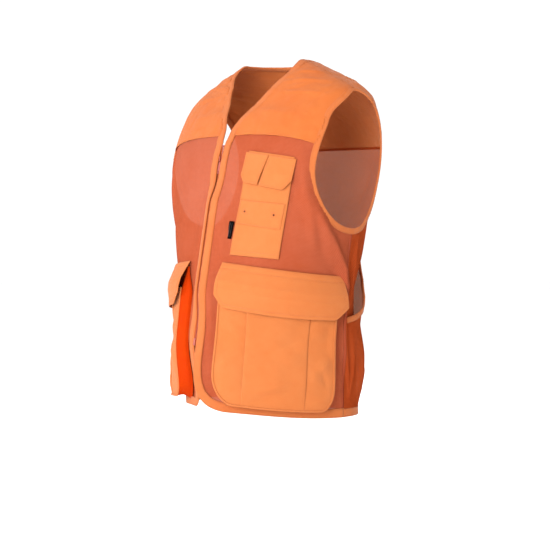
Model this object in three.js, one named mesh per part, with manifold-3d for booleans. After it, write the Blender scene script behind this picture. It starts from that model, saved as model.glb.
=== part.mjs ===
// A blaze orange mesh utility vest, in the shape that it takes on a wearer.
// Millimetres, +Z up, +X to the wearer's left, the front faces -Y. The origin is in the middle of the hem
// opening, on the wearer's vertical axis. Every panel lies on one body surface, written as skin(angle, level):
// angle 0 is the centre front, 90 the wearer's left side and 180 the centre back, and level counts rings up
// from the hem, about 80 mm apart. A lift is a distance out from that surface.
import * as THREE from "three";
import { mergeVertices } from "three/addons/utils/BufferGeometryUtils.js";
import Module from "manifold-3d";

const wasm = await Module();
wasm.setup();

// ---- driving dimensions ----
// One row a ring, hem first: half width, front depth, back depth, then the heights of the side, front and back,
// and how round the front is (2 is an ellipse; less is flatter beside the zipper, more is fuller).
const RINGS = [
  [184, 217, 108, 8, 24, 0, 1.4],
  [184, 203, 104, 84, 100.2, 80, 1.53],
  [184, 189, 94, 162, 176.4, 160, 1.65],
  [188, 175, 86, 240, 252.6, 240, 2.05],
  [200, 161, 98, 320, 328.8, 320, 2.45],
  [216, 147, 130, 400, 405, 402, 2.45],
  [227, 133, 145, 478, 481.2, 484, 2.7],
  [228, 106, 134, 546, 543, 556, 2.37],
  [212, 80, 104, 594, 577, 608, 2.1],
  [148, 61, 80, 629, 604, 641, 2.25],
  [78, 43, 60, 660, 621, 662, 2.25],
];
const BACK_ROUNDNESS = 2.25;

const CLOTH = 1.5; // thickness of every cloth layer, as stiff collision stock
const GAP = 0.3; // between pieces that touch
const BAND_WIDTH = 17; // the solid band down each front edge and round the hem
const BINDING_WIDTH = 11; // the tape round the armholes, the back neck and the pouch mouths
const WRAP = { low: -1.2, high: 2.9 }; // a binding wraps its edge, so it stands in and out of the cloth
const ZIPPER_HALF_GAP = 4.5; // from the centre line to each front band

const YOKE_EDGE = [[-8, 6.56], [3.5, 6.56], [20, 6.55], [35, 6.47], [48, 6.33], [57, 6.2], [80, 5.85]];
const BACK_YOKE_LEVEL = 6.2;
const SEAM_ANGLE = 90; // the side seams and the shoulder seams
const HEM_CORNER = { angle: 26, level: 1.4 }; // the rounded front corners of the hem
const V_LEVEL = 6.4; // the bottom of the V neck
const ZIPPER_LEVELS = { top: 6.3, bottom: 1.5 };

// Corner points of the neckline and of the armhole, as [angle, level].
const NECKLINE = [
  [1.3, V_LEVEL], [2.4, 6.8], [5.6, 7.25], [11.5, 8.17], [20, 8.9],
  [31, 9.42], [54, 9.8], [76, 9.985], [89.8, 10],
];
const BACK_NECKLINE = [[90.4, 10], [130, 9.95], [180, 9.8]];
const ARMHOLE = [
  [92, 4.38], [78, 4.48], [67, 4.78], [58.3, 5.28], [55.2, 5.85], [58, 6.65], [65, 7.35],
  [90, 8.02], [110, 7.55], [120, 6.75], [122, 5.85], [117, 5.05], [106, 4.52],
];

const CARGO = { left: 16, right: 82, bottom: 0.25, top: 2.85, corners: [13, 6], rise: [0.75, 0.55] };
const CARGO_LIFT = { bottom: 22, top: 13, crown: 3 }; // how far the pocket's face stands out from the mesh
const CARGO_FLAP = [[14.5, 2.72], [19.5, 2.45], [80.5, 2.34], [87.5, 2.6], [86.5, 3.31], [13.6, 3.49]];
// The flap's stand-off, as [levels below its seam, lift].
const FLAP_LIFT = [[-1, 2.4], [0, 2.4], [0.2, 10.5], [0.42, 18.8], [0.6, 21.6], [1.2, 24]];
const FLAP_THICKNESS = 1.6; // two layers
const HOOK_STRIP = { left: 40, right: 60, low: 2.52, high: 2.74, thickness: 1.2 };

const CHEST = {
  topLeft: [18.9, 6.11],
  topRight: [43.8, 5.93],
  lowLeft: [17.5, 3.67],
  lowRight: [45.4, 3.64],
};
const CHEST_FLAPS = [
  [[17.6, 5.52], [19.6, 5.35], [27.6, 5.29], [30.6, 5.98], [17.9, 6.07]],
  [[28.4, 5.28], [41, 5.19], [44.6, 5.4], [44.9, 5.88], [31.3, 5.975]],
];
const CHEST_PATCH = [[19.4, 4.39], [43.4, 4.29], [43.4, 4.88], [18.9, 4.96]];
const EYELETS = { front: [22.6, 4.68], side: [38.6, 4.62] };
const EYELET = { inner: 1, outer: 2.2, height: 0.9 };
const LABEL = { width: 11, height: 33, thickness: 1.4, at: [15.1, 4.25] };

// The pouch's mouth runs from the side seam back and up, and the lifts are [level, distance from the back].
const MOUTH = [[91, 2.34], [107, 2.44], [122, 2.68], [131, 3.06], [137, 3.53], [141, 4.08]];
const POUCH_LIFT = [
  [0, 2.4], [0.23, 2.4], [0.6, 9], [1, 14], [1.5, 14],
  [2.15, 11], [2.8, 21], [3.2, 21], [3.7, 14.5], [4.09, 3.5],
];
const POUCH_TOP = 4.09;
const POUCH_BOTTOM = 0.24;

// ---- the body surface ----
const lerp = (a, b, t) => a + (b - a) * t;
const clamp = (x, low, high) => Math.min(high, Math.max(low, x));
const radians = THREE.MathUtils.degToRad;

// A smooth curve through rows of numbers, at a fractional row number.
function through(rows, at) {
  const last = rows.length - 1;
  const t = clamp(at, 0, last - 1e-9);
  const i = Math.floor(t);
  const s = t - i;
  const b = rows[i];
  const c = rows[i + 1];
  return b.map((_, k) => {
    const before = i > 0 ? rows[i - 1][k] : 2 * b[k] - c[k];
    const after = i + 2 <= last ? rows[i + 2][k] : 2 * c[k] - b[k];
    const bend = 2 * before - 5 * b[k] + 4 * c[k] - after + s * (3 * (b[k] - c[k]) + after - before);
    return b[k] + 0.5 * s * (c[k] - before + s * bend);
  });
}

function bare(angle, level) {
  const [wide, front, back, sideZ, frontZ, backZ, round] = through(RINGS, level);
  const s = Math.sin(radians(angle));
  const c = Math.cos(radians(angle));
  const power = c > 0 ? round : BACK_ROUNDNESS;
  const q = (Math.abs(s) ** power + Math.abs(c) ** power) ** (-1 / power);
  const z = sideZ + ((c > 0 ? frontZ : backZ) - sideZ) * c * c;
  return new THREE.Vector3(wide * s * q, -(c > 0 ? front : back) * c * q, z);
}

// The two directions along the surface at a point, per degree and per level, and the direction out of it.
function slopes(angle, level) {
  const low = Math.max(0, level - 0.01);
  const high = Math.min(RINGS.length - 1, level + 0.01);
  const across = bare(angle + 0.5, level).sub(bare(angle - 0.5, level));
  const up = bare(angle, high).sub(bare(angle, low)).divideScalar(high - low);
  const out = new THREE.Vector3().crossVectors(across, up).normalize();
  return { across, up, out };
}

function skin(angle, level, lift = 0) {
  return bare(angle, level).addScaledVector(slopes(angle, level).out, lift);
}

// The angle at which the surface is x millimetres from the middle plane, near the centre front.
const angleAt = (x, level) => THREE.MathUtils.radToDeg(Math.asin(x / through(RINGS, level)[0]));

// ---- paths on the surface, as lists of [angle, level] ----
function smooth(points, steps = 6) {
  const count = steps * (points.length - 1);
  return Array.from({ length: count + 1 }, (_, i) => through(points, i / steps));
}

function straight(from, to, steps) {
  return Array.from({ length: steps + 1 }, (_, i) => [
    lerp(from[0], to[0], i / steps),
    lerp(from[1], to[1], i / steps),
  ]);
}

// The point a given distance to one side of a path, measured on the surface.
function beside(path, i, distance, closed) {
  const n = path.length;
  const before = path[closed ? (i + n - 1) % n : Math.max(0, i - 1)];
  const after = path[closed ? (i + 1) % n : Math.min(n - 1, i + 1)];
  const [angle, level] = path[i];
  const { across, up, out } = slopes(angle, level);
  const ahead = across.clone().multiplyScalar(after[0] - before[0]);
  ahead.addScaledVector(up, after[1] - before[1]);
  const side = new THREE.Vector3().crossVectors(out, ahead).normalize().multiplyScalar(distance);
  const aa = across.dot(across);
  const au = across.dot(up);
  const uu = up.dot(up);
  const whole = aa * uu - au * au;
  const as = across.dot(side);
  const us = up.dot(side);
  return [angle + (as * uu - us * au) / whole, level + (us * aa - as * au) / whole];
}

const offset = (path, distance, closed = false) => path.map((_, i) => beside(path, i, distance, closed));

// The point a share t of the way along a path.
const STEP_SCALE = [3.2, 80]; // millimetres per degree and per level, near enough to space points by
function along(path, t) {
  const lengths = path.slice(1).map((p, i) =>
    Math.hypot(...p.map((x, k) => (x - path[i][k]) * STEP_SCALE[k])));
  let left = t * lengths.reduce((a, b) => a + b, 0);
  for (let i = 0; i < lengths.length; i++) {
    if (left <= lengths[i] || i === lengths.length - 1) {
      const s = lengths[i] ? Math.min(1, left / lengths[i]) : 0;
      return [lerp(path[i][0], path[i + 1][0], s), lerp(path[i][1], path[i + 1][1], s)];
    }
    left -= lengths[i];
  }
}

// A grid of points filling the space between four paths: bottom and top run one way, left and right up.
function fill({ bottom, top, left, right }, columns, rows) {
  return Array.from({ length: rows + 1 }, (_, j) => {
    const v = j / rows;
    const [l, r] = [along(left, v), along(right, v)];
    return Array.from({ length: columns + 1 }, (_, i) => {
      const u = i / columns;
      const [b, t] = [along(bottom, u), along(top, u)];
      return [0, 1].map((k) =>
        lerp(b[k], t[k], v) + lerp(l[k], r[k], u) -
        lerp(lerp(left[0][k], right[0][k], u), lerp(left.at(-1)[k], right.at(-1)[k], u), v));
    });
  });
}

// ---- solids ----
function fromTriangles(points, faces) {
  const geometry = new THREE.BufferGeometry();
  const numbers = points.flatMap((p) => p.toArray());
  geometry.setAttribute("position", new THREE.Float32BufferAttribute(numbers, 3));
  const volume = faces.reduce((sum, [a, b, c]) =>
    sum + points[a].dot(new THREE.Vector3().crossVectors(points[b], points[c])), 0);
  geometry.setIndex(faces.flatMap(([a, b, c]) => (volume > 0 ? [a, b, c] : [a, c, b])));
  return geometry;
}

// A closed solid between an outer and an inner sheet of points, given as rows. A loop joins its last row to its
// first.
function between(outer, inner, loop = false) {
  const rows = outer.length;
  const columns = outer[0].length;
  const points = [...outer.flat(), ...inner.flat()];
  const at = (j, i, side) => side * rows * columns + (j % rows) * columns + i;
  const faces = [];
  const quad = (a, b, c, d) => faces.push([a, b, c], [a, c, d]);
  const lastRow = loop ? rows : rows - 1;
  for (let j = 0; j < lastRow; j++) {
    for (let i = 0; i < columns - 1; i++) {
      quad(at(j, i, 0), at(j, i + 1, 0), at(j + 1, i + 1, 0), at(j + 1, i, 0));
      quad(at(j, i, 1), at(j + 1, i, 1), at(j + 1, i + 1, 1), at(j, i + 1, 1));
    }
    quad(at(j, 0, 0), at(j + 1, 0, 0), at(j + 1, 0, 1), at(j, 0, 1));
    quad(at(j, columns - 1, 0), at(j, columns - 1, 1), at(j + 1, columns - 1, 1), at(j + 1, columns - 1, 0));
  }
  for (let i = 0; i < columns - 1 && !loop; i++) {
    quad(at(0, i, 0), at(0, i, 1), at(0, i + 1, 1), at(0, i + 1, 0));
    quad(at(rows - 1, i, 0), at(rows - 1, i + 1, 0), at(rows - 1, i + 1, 1), at(rows - 1, i, 1));
  }
  return fromTriangles(points, faces);
}

// A layer of cloth over a grid of [angle, level]. lift is a number or a function of angle and level.
function layer(grid, lift, thickness = CLOTH, loop = false) {
  const height = typeof lift === "function" ? lift : () => lift;
  const sheet = (more) => grid.map((row) => row.map(([a, l]) => skin(a, l, height(a, l) + more)));
  return between(sheet(thickness), sheet(0), loop);
}

// A strip along a path, from one distance beside it to another, between two lifts over a base lift.
function strip(path, near, far, low, high, closed = false, base = () => 0) {
  const sides = [near, (near + far) / 2, far].map((distance) => offset(path, distance, closed));
  const grid = path.map((_, i) => sides.map((side) => side[i]));
  return layer(grid, (a, l) => base(a, l) + low, high - low, closed);
}

const tape = (path, width, closed, base) => strip(path, 0, width, WRAP.low, WRAP.high, closed, base);

// The room that a tape needs: a little more all round, and through everything beside it.
function room(path, width, closed = false, base = () => 0) {
  const side = Math.sign(width);
  return solid(strip(path, -3 * side, width + 1.3 * GAP * side, -6, 9, closed, base));
}

// A closed three.js geometry as a manifold-3d solid, and back.
function solid(geometry) {
  const bareGeometry = geometry.clone();
  bareGeometry.deleteAttribute("normal");
  bareGeometry.deleteAttribute("uv");
  const merged = mergeVertices(bareGeometry, 1e-4);
  const vertProperties = new Float32Array(merged.attributes.position.array);
  const triVerts = new Uint32Array(merged.index.array);
  return new wasm.Manifold(new wasm.Mesh({ numProp: 3, vertProperties, triVerts }));
}

function geometryOf(body) {
  const mesh = body.getMesh();
  const geometry = new THREE.BufferGeometry();
  geometry.setAttribute("position", new THREE.BufferAttribute(new Float32Array(mesh.vertProperties), 3));
  geometry.setIndex(new THREE.BufferAttribute(new Uint32Array(mesh.triVerts), 1));
  return geometry;
}

// What is left of a sheet once the rooms are cut out of it: its largest pieces, lowest first.
function remains(sheet, rooms, count = 1) {
  const cut = rooms.reduce((rest, space) => rest.subtract(space), solid(sheet));
  const pieces = cut.decompose().sort((p, q) => q.volume() - p.volume()).slice(0, count);
  const height = (piece) => piece.boundingBox().min[2];
  return pieces.sort((p, q) => height(p) - height(q)).map(geometryOf);
}

function mirrored(geometry) {
  const copy = geometry.clone().scale(-1, 1, 1);
  const index = copy.index.array;
  for (let i = 0; i < index.length; i += 3) [index[i], index[i + 1]] = [index[i + 1], index[i]];
  return copy;
}

// ---- materials ----
function finish(color, roughness, metalness = 0) {
  return new THREE.MeshStandardMaterial({ color, roughness, metalness });
}
const materials = {
  twill: finish(0xff8a3c, 0.85),
  netting: finish(0xe4703c, 0.9),
  binding: finish(0xff7e33, 0.8),
  zipper: finish(0xf06a28, 0.6),
  painted: finish(0xe0522a, 0.4, 0.3),
  fastener: finish(0xe8662a, 0.95),
  label: finish(0x15151a, 0.8),
};

const vest = new THREE.Group();
function add(name, material, geometry) {
  const mesh = new THREE.Mesh(geometry, materials[material]);
  mesh.name = name;
  vest.add(mesh);
}

// The same piece on the wearer's left and, mirrored, on the right.
function addPair(name, material, geometry) {
  add(`${name}_left`, material, geometry);
  add(`${name}_right`, material, mirrored(geometry));
}

// ---- edges and the rooms of their bindings ----
const overBack = (path) => path.map(([a, l]) => [360 - a, l]);
const armhole = smooth([...ARMHOLE, ARMHOLE[0]], 3).slice(0, -1);
const band = [
  ...smooth([...NECKLINE].reverse(), 4).slice(0, -1),
  ...straight([0, V_LEVEL], [0, HEM_CORNER.level], 16).map(
    ([, level]) => [angleAt(ZIPPER_HALF_GAP, level), level],
  ),
  ...Array.from({ length: 8 }, (_, i) => {
    const turn = radians(((i + 1) / 8) * 90);
    const start = angleAt(ZIPPER_HALF_GAP, HEM_CORNER.level);
    return [start + HEM_CORNER.angle * (1 - Math.cos(turn)), HEM_CORNER.level * (1 - Math.sin(turn))];
  }),
  ...straight([HEM_CORNER.angle + 7, 0], [SEAM_ANGLE - 0.05, 0], 12),
];
const backNeck = smooth(BACK_NECKLINE, 4);
const neckEdge = [...backNeck, ...overBack(backNeck).reverse().slice(1)];
const backHem = straight([SEAM_ANGLE + 0.05, 0], [360 - SEAM_ANGLE - 0.05, 0], 24);

const armRoom = room(armhole, BINDING_WIDTH, true);
const bandRoom = room([[SEAM_ANGLE + 0.4, 10], ...band, [SEAM_ANGLE + 0.4, 0]], BAND_WIDTH);
const yokeFront = smooth(YOKE_EDGE, 4);
const yokeBack = straight([95, BACK_YOKE_LEVEL], [265, BACK_YOKE_LEVEL], 24);

// ---- body panels ----
const grid = (angles, levels, columns, rows) =>
  straight([levels[0], 0], [levels[1], 0], rows).map(([l]) =>
    straight([angles[0], 0], [angles[1], 0], columns).map(([a]) => [a, l]));
const seamCut = 0.05; // degrees kept clear on each side of a seam

const frontSheet = layer(grid([-1, SEAM_ANGLE - seamCut], [0.01, 9.99], 16, 18), 0);
const cutYoke = (path) => solid(strip(path, -GAP / 2, GAP / 2, -6, 9));
const [frontMesh, frontYoke] = remains(frontSheet, [bandRoom, armRoom, cutYoke(yokeFront)], 2);
addPair("front_mesh", "netting", frontMesh);
addPair("front_yoke", "twill", frontYoke);

const backSheet = layer(grid([SEAM_ANGLE + seamCut, 360 - SEAM_ANGLE - seamCut], [0.01, 9.99], 28, 16), 0);
const backRooms = [room(neckEdge, -BINDING_WIDTH), room(backHem, BAND_WIDTH)];
backRooms.push(armRoom, armRoom.mirror([1, 0, 0]), bandRoom, bandRoom.mirror([1, 0, 0]));
const [backMesh, backYoke] = remains(backSheet, [...backRooms, cutYoke(yokeBack)], 2);
add("back_mesh", "netting", backMesh);
add("back_yoke", "twill", backYoke);

// ---- bands and bindings ----
addPair("front_band", "binding", tape(band, BAND_WIDTH));
addPair("armhole_binding", "binding", tape(armhole, BINDING_WIDTH, true));
const neckTape = remains(tape(neckEdge, -BINDING_WIDTH), [bandRoom, bandRoom.mirror([1, 0, 0])]);
add("neck_binding", "binding", neckTape[0]);
add("hem_binding", "binding", tape(backHem, BAND_WIDTH));

// ---- zipper ----
// The centre front is a straight line from the hem to the V, so the slider runs on it without turning.
const zipTop = bare(0, ZIPPER_LEVELS.top);
const zipBottom = bare(0, ZIPPER_LEVELS.bottom);
const zipLength = zipTop.distanceTo(zipBottom);
const zipper = new THREE.Group();
zipper.position.copy(zipTop);
zipper.rotation.x = -Math.atan2(zipTop.y - zipBottom.y, zipTop.z - zipBottom.z);
zipper.updateMatrix();
const onZipper = (geometry) => geometry.applyMatrix4(zipper.matrix);

// A box in the zipper's frame: x across it, out away from the wearer, up along it from its top.
function block([x0, x1], [out0, out1], [up0, up1]) {
  const box = new THREE.BoxGeometry(x1 - x0, out1 - out0, up1 - up0);
  return box.translate((x0 + x1) / 2, -(out0 + out1) / 2, (up0 + up1) / 2);
}

const TEETH = { half: 2.4, low: -0.6, high: 1.2 };
const SLIDER = {
  half: 4, length: 11, wall: 1, rest: 21, clear: 0.5, bridge: 2.2,
  wedge: 0.05, legHalf: 1, legInset: 0.8, legLength: 1.6, overlap: 0.1,
};
const STOP = { top: 3.6, box: 13 };

const stopEnd = STOP.top + GAP;
const tapeWidth = [TEETH.half + GAP, ZIPPER_HALF_GAP - GAP];
addPair("zipper_tape", "zipper", onZipper(block(tapeWidth, [-0.5, 0.6], [-zipLength, 0])));
addPair("zipper_teeth", "zipper",
  onZipper(block([GAP / 2, TEETH.half], [TEETH.low, TEETH.high], [-zipLength + STOP.box + GAP, -stopEnd])));
addPair("zipper_stop", "painted", onZipper(block([GAP / 2, TEETH.half], [-0.8, 1.6], [-STOP.top, 0])));
const boxHeights = [-zipLength, -zipLength + STOP.box];
add("zipper_box", "painted", onZipper(block([-TEETH.half, TEETH.half], [-1, 1.9], boxHeights)));

// The slider: a plate over the teeth and one under them, joined by a wedge between the two rows at the top, with
// a bridge for the pull. The side flanges stay clear of the tapes.
function slider() {
  const { half, length, wall, rest, clear, bridge, wedge, legHalf, legInset, legLength, overlap } = SLIDER;
  const [low, high] = [TEETH.low - clear, TEETH.high + clear];
  const [bottom, top] = [-rest - length, -rest];
  const face = high + wall;
  const legs = [face - overlap, face + bridge + wall];
  const pieces = [
    block([-half, half], [high, face], [bottom, top]),
    block([-half, half], [low - wall, low], [bottom, top]),
    block([-wedge, wedge], [low - overlap, high + overlap], [bottom, top]),
    block([-legHalf, legHalf], legs, [bottom + legInset, bottom + legInset + legLength]),
    block([-legHalf, legHalf], legs, [top - legInset - legLength, top - legInset]),
    block([-legHalf, legHalf], [face + bridge, face + bridge + wall], [bottom + legInset, top - legInset]),
  ];
  return geometryOf(pieces.map(solid).reduce((sum, piece) => sum.add(piece)));
}
add("zipper_slider", "painted", onZipper(slider()));

// The pull hangs from the bridge by a square eye round its lower leg, with a round hole in its far end.
const PULL = {
  top: 3.2, bar: 1.4, eye: 8.2, length: 30, neck: 2.1, end: 3.4, thickness: 1.1, inner: 1.35, hole: 1.5,
};
const pullOut = TEETH.high + SLIDER.clear + SLIDER.wall + (SLIDER.bridge + PULL.thickness) / 2;
function pull() {
  const { bar, eye, length, neck, end, thickness, inner, hole } = PULL;
  const corners = (points) => points.map(([x, y]) => new THREE.Vector2(x, y));
  const outline = new THREE.Shape(corners([[-neck, 0], [-neck, -eye - 1.4], [-end, end - length]]));
  outline.absarc(0, end - length, end, Math.PI, 2 * Math.PI);
  outline.lineTo(neck, -eye - 1.4);
  outline.lineTo(neck, 0);
  const slot = corners([[-inner, -bar], [inner, -bar], [inner, -eye], [-inner, -eye]]);
  outline.holes.push(new THREE.Path(slot));
  outline.holes.push(new THREE.Path().absarc(0, end - length, hole, 0, 2 * Math.PI));
  const settings = { depth: thickness, bevelEnabled: false, curveSegments: 6 };
  const plate = new THREE.ExtrudeGeometry(outline, settings);
  return plate.rotateX(Math.PI / 2).translate(0, -pullOut + thickness, -SLIDER.rest - PULL.top);
}
add("zipper_pull", "painted", onZipper(pull()));

// ---- cargo pockets ----
const smoothstep = (low, high, x) => THREE.MathUtils.smoothstep(x, low, high);
const shareAcross = (a) => (a - CARGO.left) / (CARGO.right - CARGO.left);
function cargoLift(a, l) {
  const side = clamp(2 * shareAcross(a) - 1, -1, 1);
  const share = clamp((l - CARGO.bottom) / (CARGO.top - CARGO.bottom), 0, 1);
  const edge = lerp(CARGO_LIFT.bottom, CARGO_LIFT.top, share);
  return edge + CARGO_LIFT.crown * (1 - side * side);
}

// Down the pocket's front side, round its rounded corners and up its back side.
const cargoEdge = [
  ...straight([CARGO.left, CARGO.top], [CARGO.left, CARGO.bottom + CARGO.rise[0]], 8),
  ...Array.from({ length: 6 }, (_, i) => {
    const turn = ((i + 1) / 6) * (Math.PI / 2);
    return [
      CARGO.left + CARGO.corners[0] * (1 - Math.cos(turn)),
      CARGO.bottom + CARGO.rise[0] * (1 - Math.sin(turn)),
    ];
  }),
  ...straight(
    [CARGO.left + CARGO.corners[0], CARGO.bottom],
    [CARGO.right - CARGO.corners[1], CARGO.bottom],
    10,
  ).slice(1),
  ...Array.from({ length: 5 }, (_, i) => {
    const turn = ((i + 1) / 5) * (Math.PI / 2);
    return [
      CARGO.right - CARGO.corners[1] * (1 - Math.sin(turn)),
      CARGO.bottom + CARGO.rise[1] * (1 - Math.cos(turn)),
    ];
  }),
  ...straight([CARGO.right, CARGO.bottom + CARGO.rise[1]], [CARGO.right, CARGO.top], 8).slice(1),
];

// The gusset is the pocket's wall: thin across, and standing from the mesh out to the pocket's face.
function cargoGusset() {
  const inner = offset(cargoEdge, CLOTH);
  const low = CLOTH + 2 * GAP;
  const wall = (path, share) => path.map(([a, l]) => skin(a, l, lerp(low, cargoLift(a, l) - GAP, share)));
  const sheet = (path) => {
    const levels = [0, 0.5, 1].map((share) => wall(path, share));
    return path.map((_, i) => levels.map((level) => level[i]));
  };
  return between(sheet(cargoEdge), sheet(inner));
}

function cargoFace() {
  const left = cargoEdge.slice(0, 12).reverse();
  const right = cargoEdge.slice(27);
  const bottom = cargoEdge.slice(11, 28);
  const top = straight([CARGO.left, CARGO.top], [CARGO.right, CARGO.top], 12);
  return layer(fill({ bottom, top, left, right }, 12, 10), cargoLift);
}
addPair("cargo_gusset", "twill", cargoGusset());
addPair("cargo_pocket", "twill", cargoFace());

// A sheet from a polygon of six corners, lowest front one first, going round by the bottom.
function fillFrom(corners, columns, rows) {
  const [lowLeft, lowRight] = [corners[0], corners.at(-3)];
  const [topRight, topLeft] = [corners.at(-2), corners.at(-1)];
  return fill({
    bottom: corners.slice(0, -2),
    top: straight(topLeft, topRight, 8),
    left: straight(lowLeft, topLeft, 4),
    right: straight(lowRight, topRight, 4),
  }, columns, rows);
}

// A value read off rows of [position, value] by straight lines between them.
function ramp(rows, at) {
  const i = clamp(rows.findIndex(([position]) => position > at) - 1, 0, rows.length - 2);
  if (at >= rows.at(-1)[0]) return rows.at(-1)[1];
  return THREE.MathUtils.mapLinear(at, rows[i][0], rows[i + 1][0], rows[i][1], rows[i + 1][1]);
}

// The flap lies from its seam, just above the pocket, out over the pocket's face.
const [flapBack, flapFront] = CARGO_FLAP.slice(-2);
const flapSeam = (a) => THREE.MathUtils.mapLinear(a, flapFront[0], flapBack[0], flapFront[1], flapBack[1]);
const flapLift = (a, l) => ramp(FLAP_LIFT, flapSeam(a) - l);
addPair("cargo_flap", "twill", layer(fillFrom(CARGO_FLAP, 14, 8), flapLift, FLAP_THICKNESS));

// Hook strip under the flap and loop strip on the pocket.
const { left: hookLeft, right: hookRight, low: hookLow, high: hookHigh, thickness: hookThick } = HOOK_STRIP;
const hookGrid = grid([hookLeft, hookRight], [hookLow, hookHigh], 6, 2);
addPair("cargo_hook", "fastener", layer(hookGrid, (a, l) => flapLift(a, l) - GAP - hookThick, hookThick));
addPair("cargo_loop", "fastener", layer(hookGrid, (a, l) => cargoLift(a, l) + CLOTH + GAP, hookThick));

// ---- chest pocket, on the wearer's left only ----
const onMesh = CLOTH + 2 * GAP;
const onPanel = onMesh + CLOTH + GAP;
const { topLeft, topRight, lowLeft, lowRight } = CHEST;
add("chest_panel", "twill", layer(fillFrom([lowLeft, lowRight, topRight, topLeft], 8, 14), onMesh));
add("chest_patch", "twill", layer(fillFrom(CHEST_PATCH, 8, 4), onPanel));

// Two small flaps beside each other, with a leaning slit between them and their outer lower corners cut off.
const chestFlapLift = (a, l) => onPanel + 0.2 + 3 * (1 - smoothstep(5.3, 5.9, l));
CHEST_FLAPS.forEach((corners, i) =>
  add(`chest_flap_${["front", "side"][i]}`, "twill",
    layer(fillFrom(corners, 6, 5), chestFlapLift, FLAP_THICKNESS)));

// Turns a solid made with its face towards -Y and its top towards +Z onto the surface.
function onSkin(geometry, [angle, level], lift) {
  const { up, out } = slopes(angle, level);
  const side = new THREE.Vector3().crossVectors(up, out).normalize();
  const upright = new THREE.Vector3().crossVectors(out, side);
  const turn = new THREE.Matrix4().makeBasis(side, out.clone().negate(), upright);
  return geometry.applyMatrix4(turn.setPosition(skin(angle, level, lift)));
}

function eyelet() {
  const { inner, outer, height } = EYELET;
  const ring = [
    [inner, 0], [outer, 0], [outer, height * 0.6], [(inner + outer) / 2, height], [inner, height * 0.7],
  ];
  const profile = [...ring, ring[0]].map(([x, y]) => new THREE.Vector2(x, y));
  return new THREE.LatheGeometry(profile, 12).rotateX(Math.PI);
}
const onPatch = onPanel + CLOTH + GAP;
Object.entries(EYELETS).forEach(([side, at]) =>
  add(`eyelet_${side}`, "painted", onSkin(eyelet(), at, onPatch)));

const labelBox = new THREE.BoxGeometry(LABEL.width, LABEL.thickness, LABEL.height);
add("label", "label", onSkin(labelBox, LABEL.at, onMesh + 1));

// ---- game pouch ----
const POUCH_BASE = POUCH_LIFT[0][1];
function pouchLift(a, l) {
  const fromSeam = Math.min(a, 360 - a) - SEAM_ANGLE;
  const spread = smoothstep(0, 30, fromSeam) * (1 + 0.4 * smoothstep(35, 80, fromSeam));
  return POUCH_BASE + (ramp(POUCH_LIFT, l) - POUCH_BASE) * spread;
}
const mouth = smooth(MOUTH, 4);
const mouthCut = [[88, 2.32], ...mouth, [143.5, 4.43]];
const pouchAngles = [SEAM_ANGLE + 0.4, 360 - SEAM_ANGLE - 0.4];
const pouchSheet = layer(grid(pouchAngles, [POUCH_BOTTOM, POUCH_TOP], 30, 14), pouchLift);
const mouthRoom = room(mouthCut, -BINDING_WIDTH, false, pouchLift);
add("game_pouch", "netting", remains(pouchSheet, [mouthRoom, mouthRoom.mirror([1, 0, 0])])[0]);

const STRAP_END = MOUTH[1][0];
const strap = mouth.filter(([a]) => a <= STRAP_END);
const mouthTape = mouth.filter(([a]) => a > STRAP_END);
const pouchTape = (path) => strip(path, 0, -BINDING_WIDTH, -0.2, WRAP.high, false, pouchLift);
addPair("pouch_strap", "binding", pouchTape(strap));
addPair("pouch_binding", "binding", pouchTape(mouthTape));

export default vest;
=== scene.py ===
"""A blaze orange mesh utility vest, in the shape that it takes on an unseen wearer.

The pieces lie on the same body surface as the CAD part: angle 0 is the centre front, 90 the wearer's left
side and 180 the centre back, and level counts rings up from the hem. Sizes are millimetres until make()
turns them to metres.
"""

import math

import bpy
import numpy as np
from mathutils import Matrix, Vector


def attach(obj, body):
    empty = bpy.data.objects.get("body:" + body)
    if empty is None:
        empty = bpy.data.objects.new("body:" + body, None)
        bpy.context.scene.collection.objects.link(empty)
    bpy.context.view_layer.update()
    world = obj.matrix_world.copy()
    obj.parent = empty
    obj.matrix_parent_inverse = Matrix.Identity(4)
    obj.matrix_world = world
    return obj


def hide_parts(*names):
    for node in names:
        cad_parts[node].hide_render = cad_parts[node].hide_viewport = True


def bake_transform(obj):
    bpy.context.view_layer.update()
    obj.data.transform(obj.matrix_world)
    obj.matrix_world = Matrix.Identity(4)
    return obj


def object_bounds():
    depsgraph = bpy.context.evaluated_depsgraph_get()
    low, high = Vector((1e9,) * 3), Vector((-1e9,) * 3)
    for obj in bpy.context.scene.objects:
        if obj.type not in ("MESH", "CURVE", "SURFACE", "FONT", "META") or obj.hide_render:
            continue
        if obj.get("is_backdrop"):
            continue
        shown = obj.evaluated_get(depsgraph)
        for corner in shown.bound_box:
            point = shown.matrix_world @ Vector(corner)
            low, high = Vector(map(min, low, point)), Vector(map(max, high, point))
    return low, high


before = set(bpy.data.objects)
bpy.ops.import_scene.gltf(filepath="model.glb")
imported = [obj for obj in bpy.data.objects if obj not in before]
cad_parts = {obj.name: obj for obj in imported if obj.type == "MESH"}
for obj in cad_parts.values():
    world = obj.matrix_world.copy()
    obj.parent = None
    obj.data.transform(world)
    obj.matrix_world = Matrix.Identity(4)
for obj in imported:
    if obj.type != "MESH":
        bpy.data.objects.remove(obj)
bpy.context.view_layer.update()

MM = 0.001

# ---- camera ----
CAMERA_TURN = math.radians(48)  # from straight in front towards the wearer's left
CAMERA_RISE = math.radians(1)
CAMERA_AWAY = 2.6
CAMERA_OVER = Vector((0, 0, 0.33))  # the point that it is so far away from
CAMERA_SIGHT = Vector((0, 0, 0.26))

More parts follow.
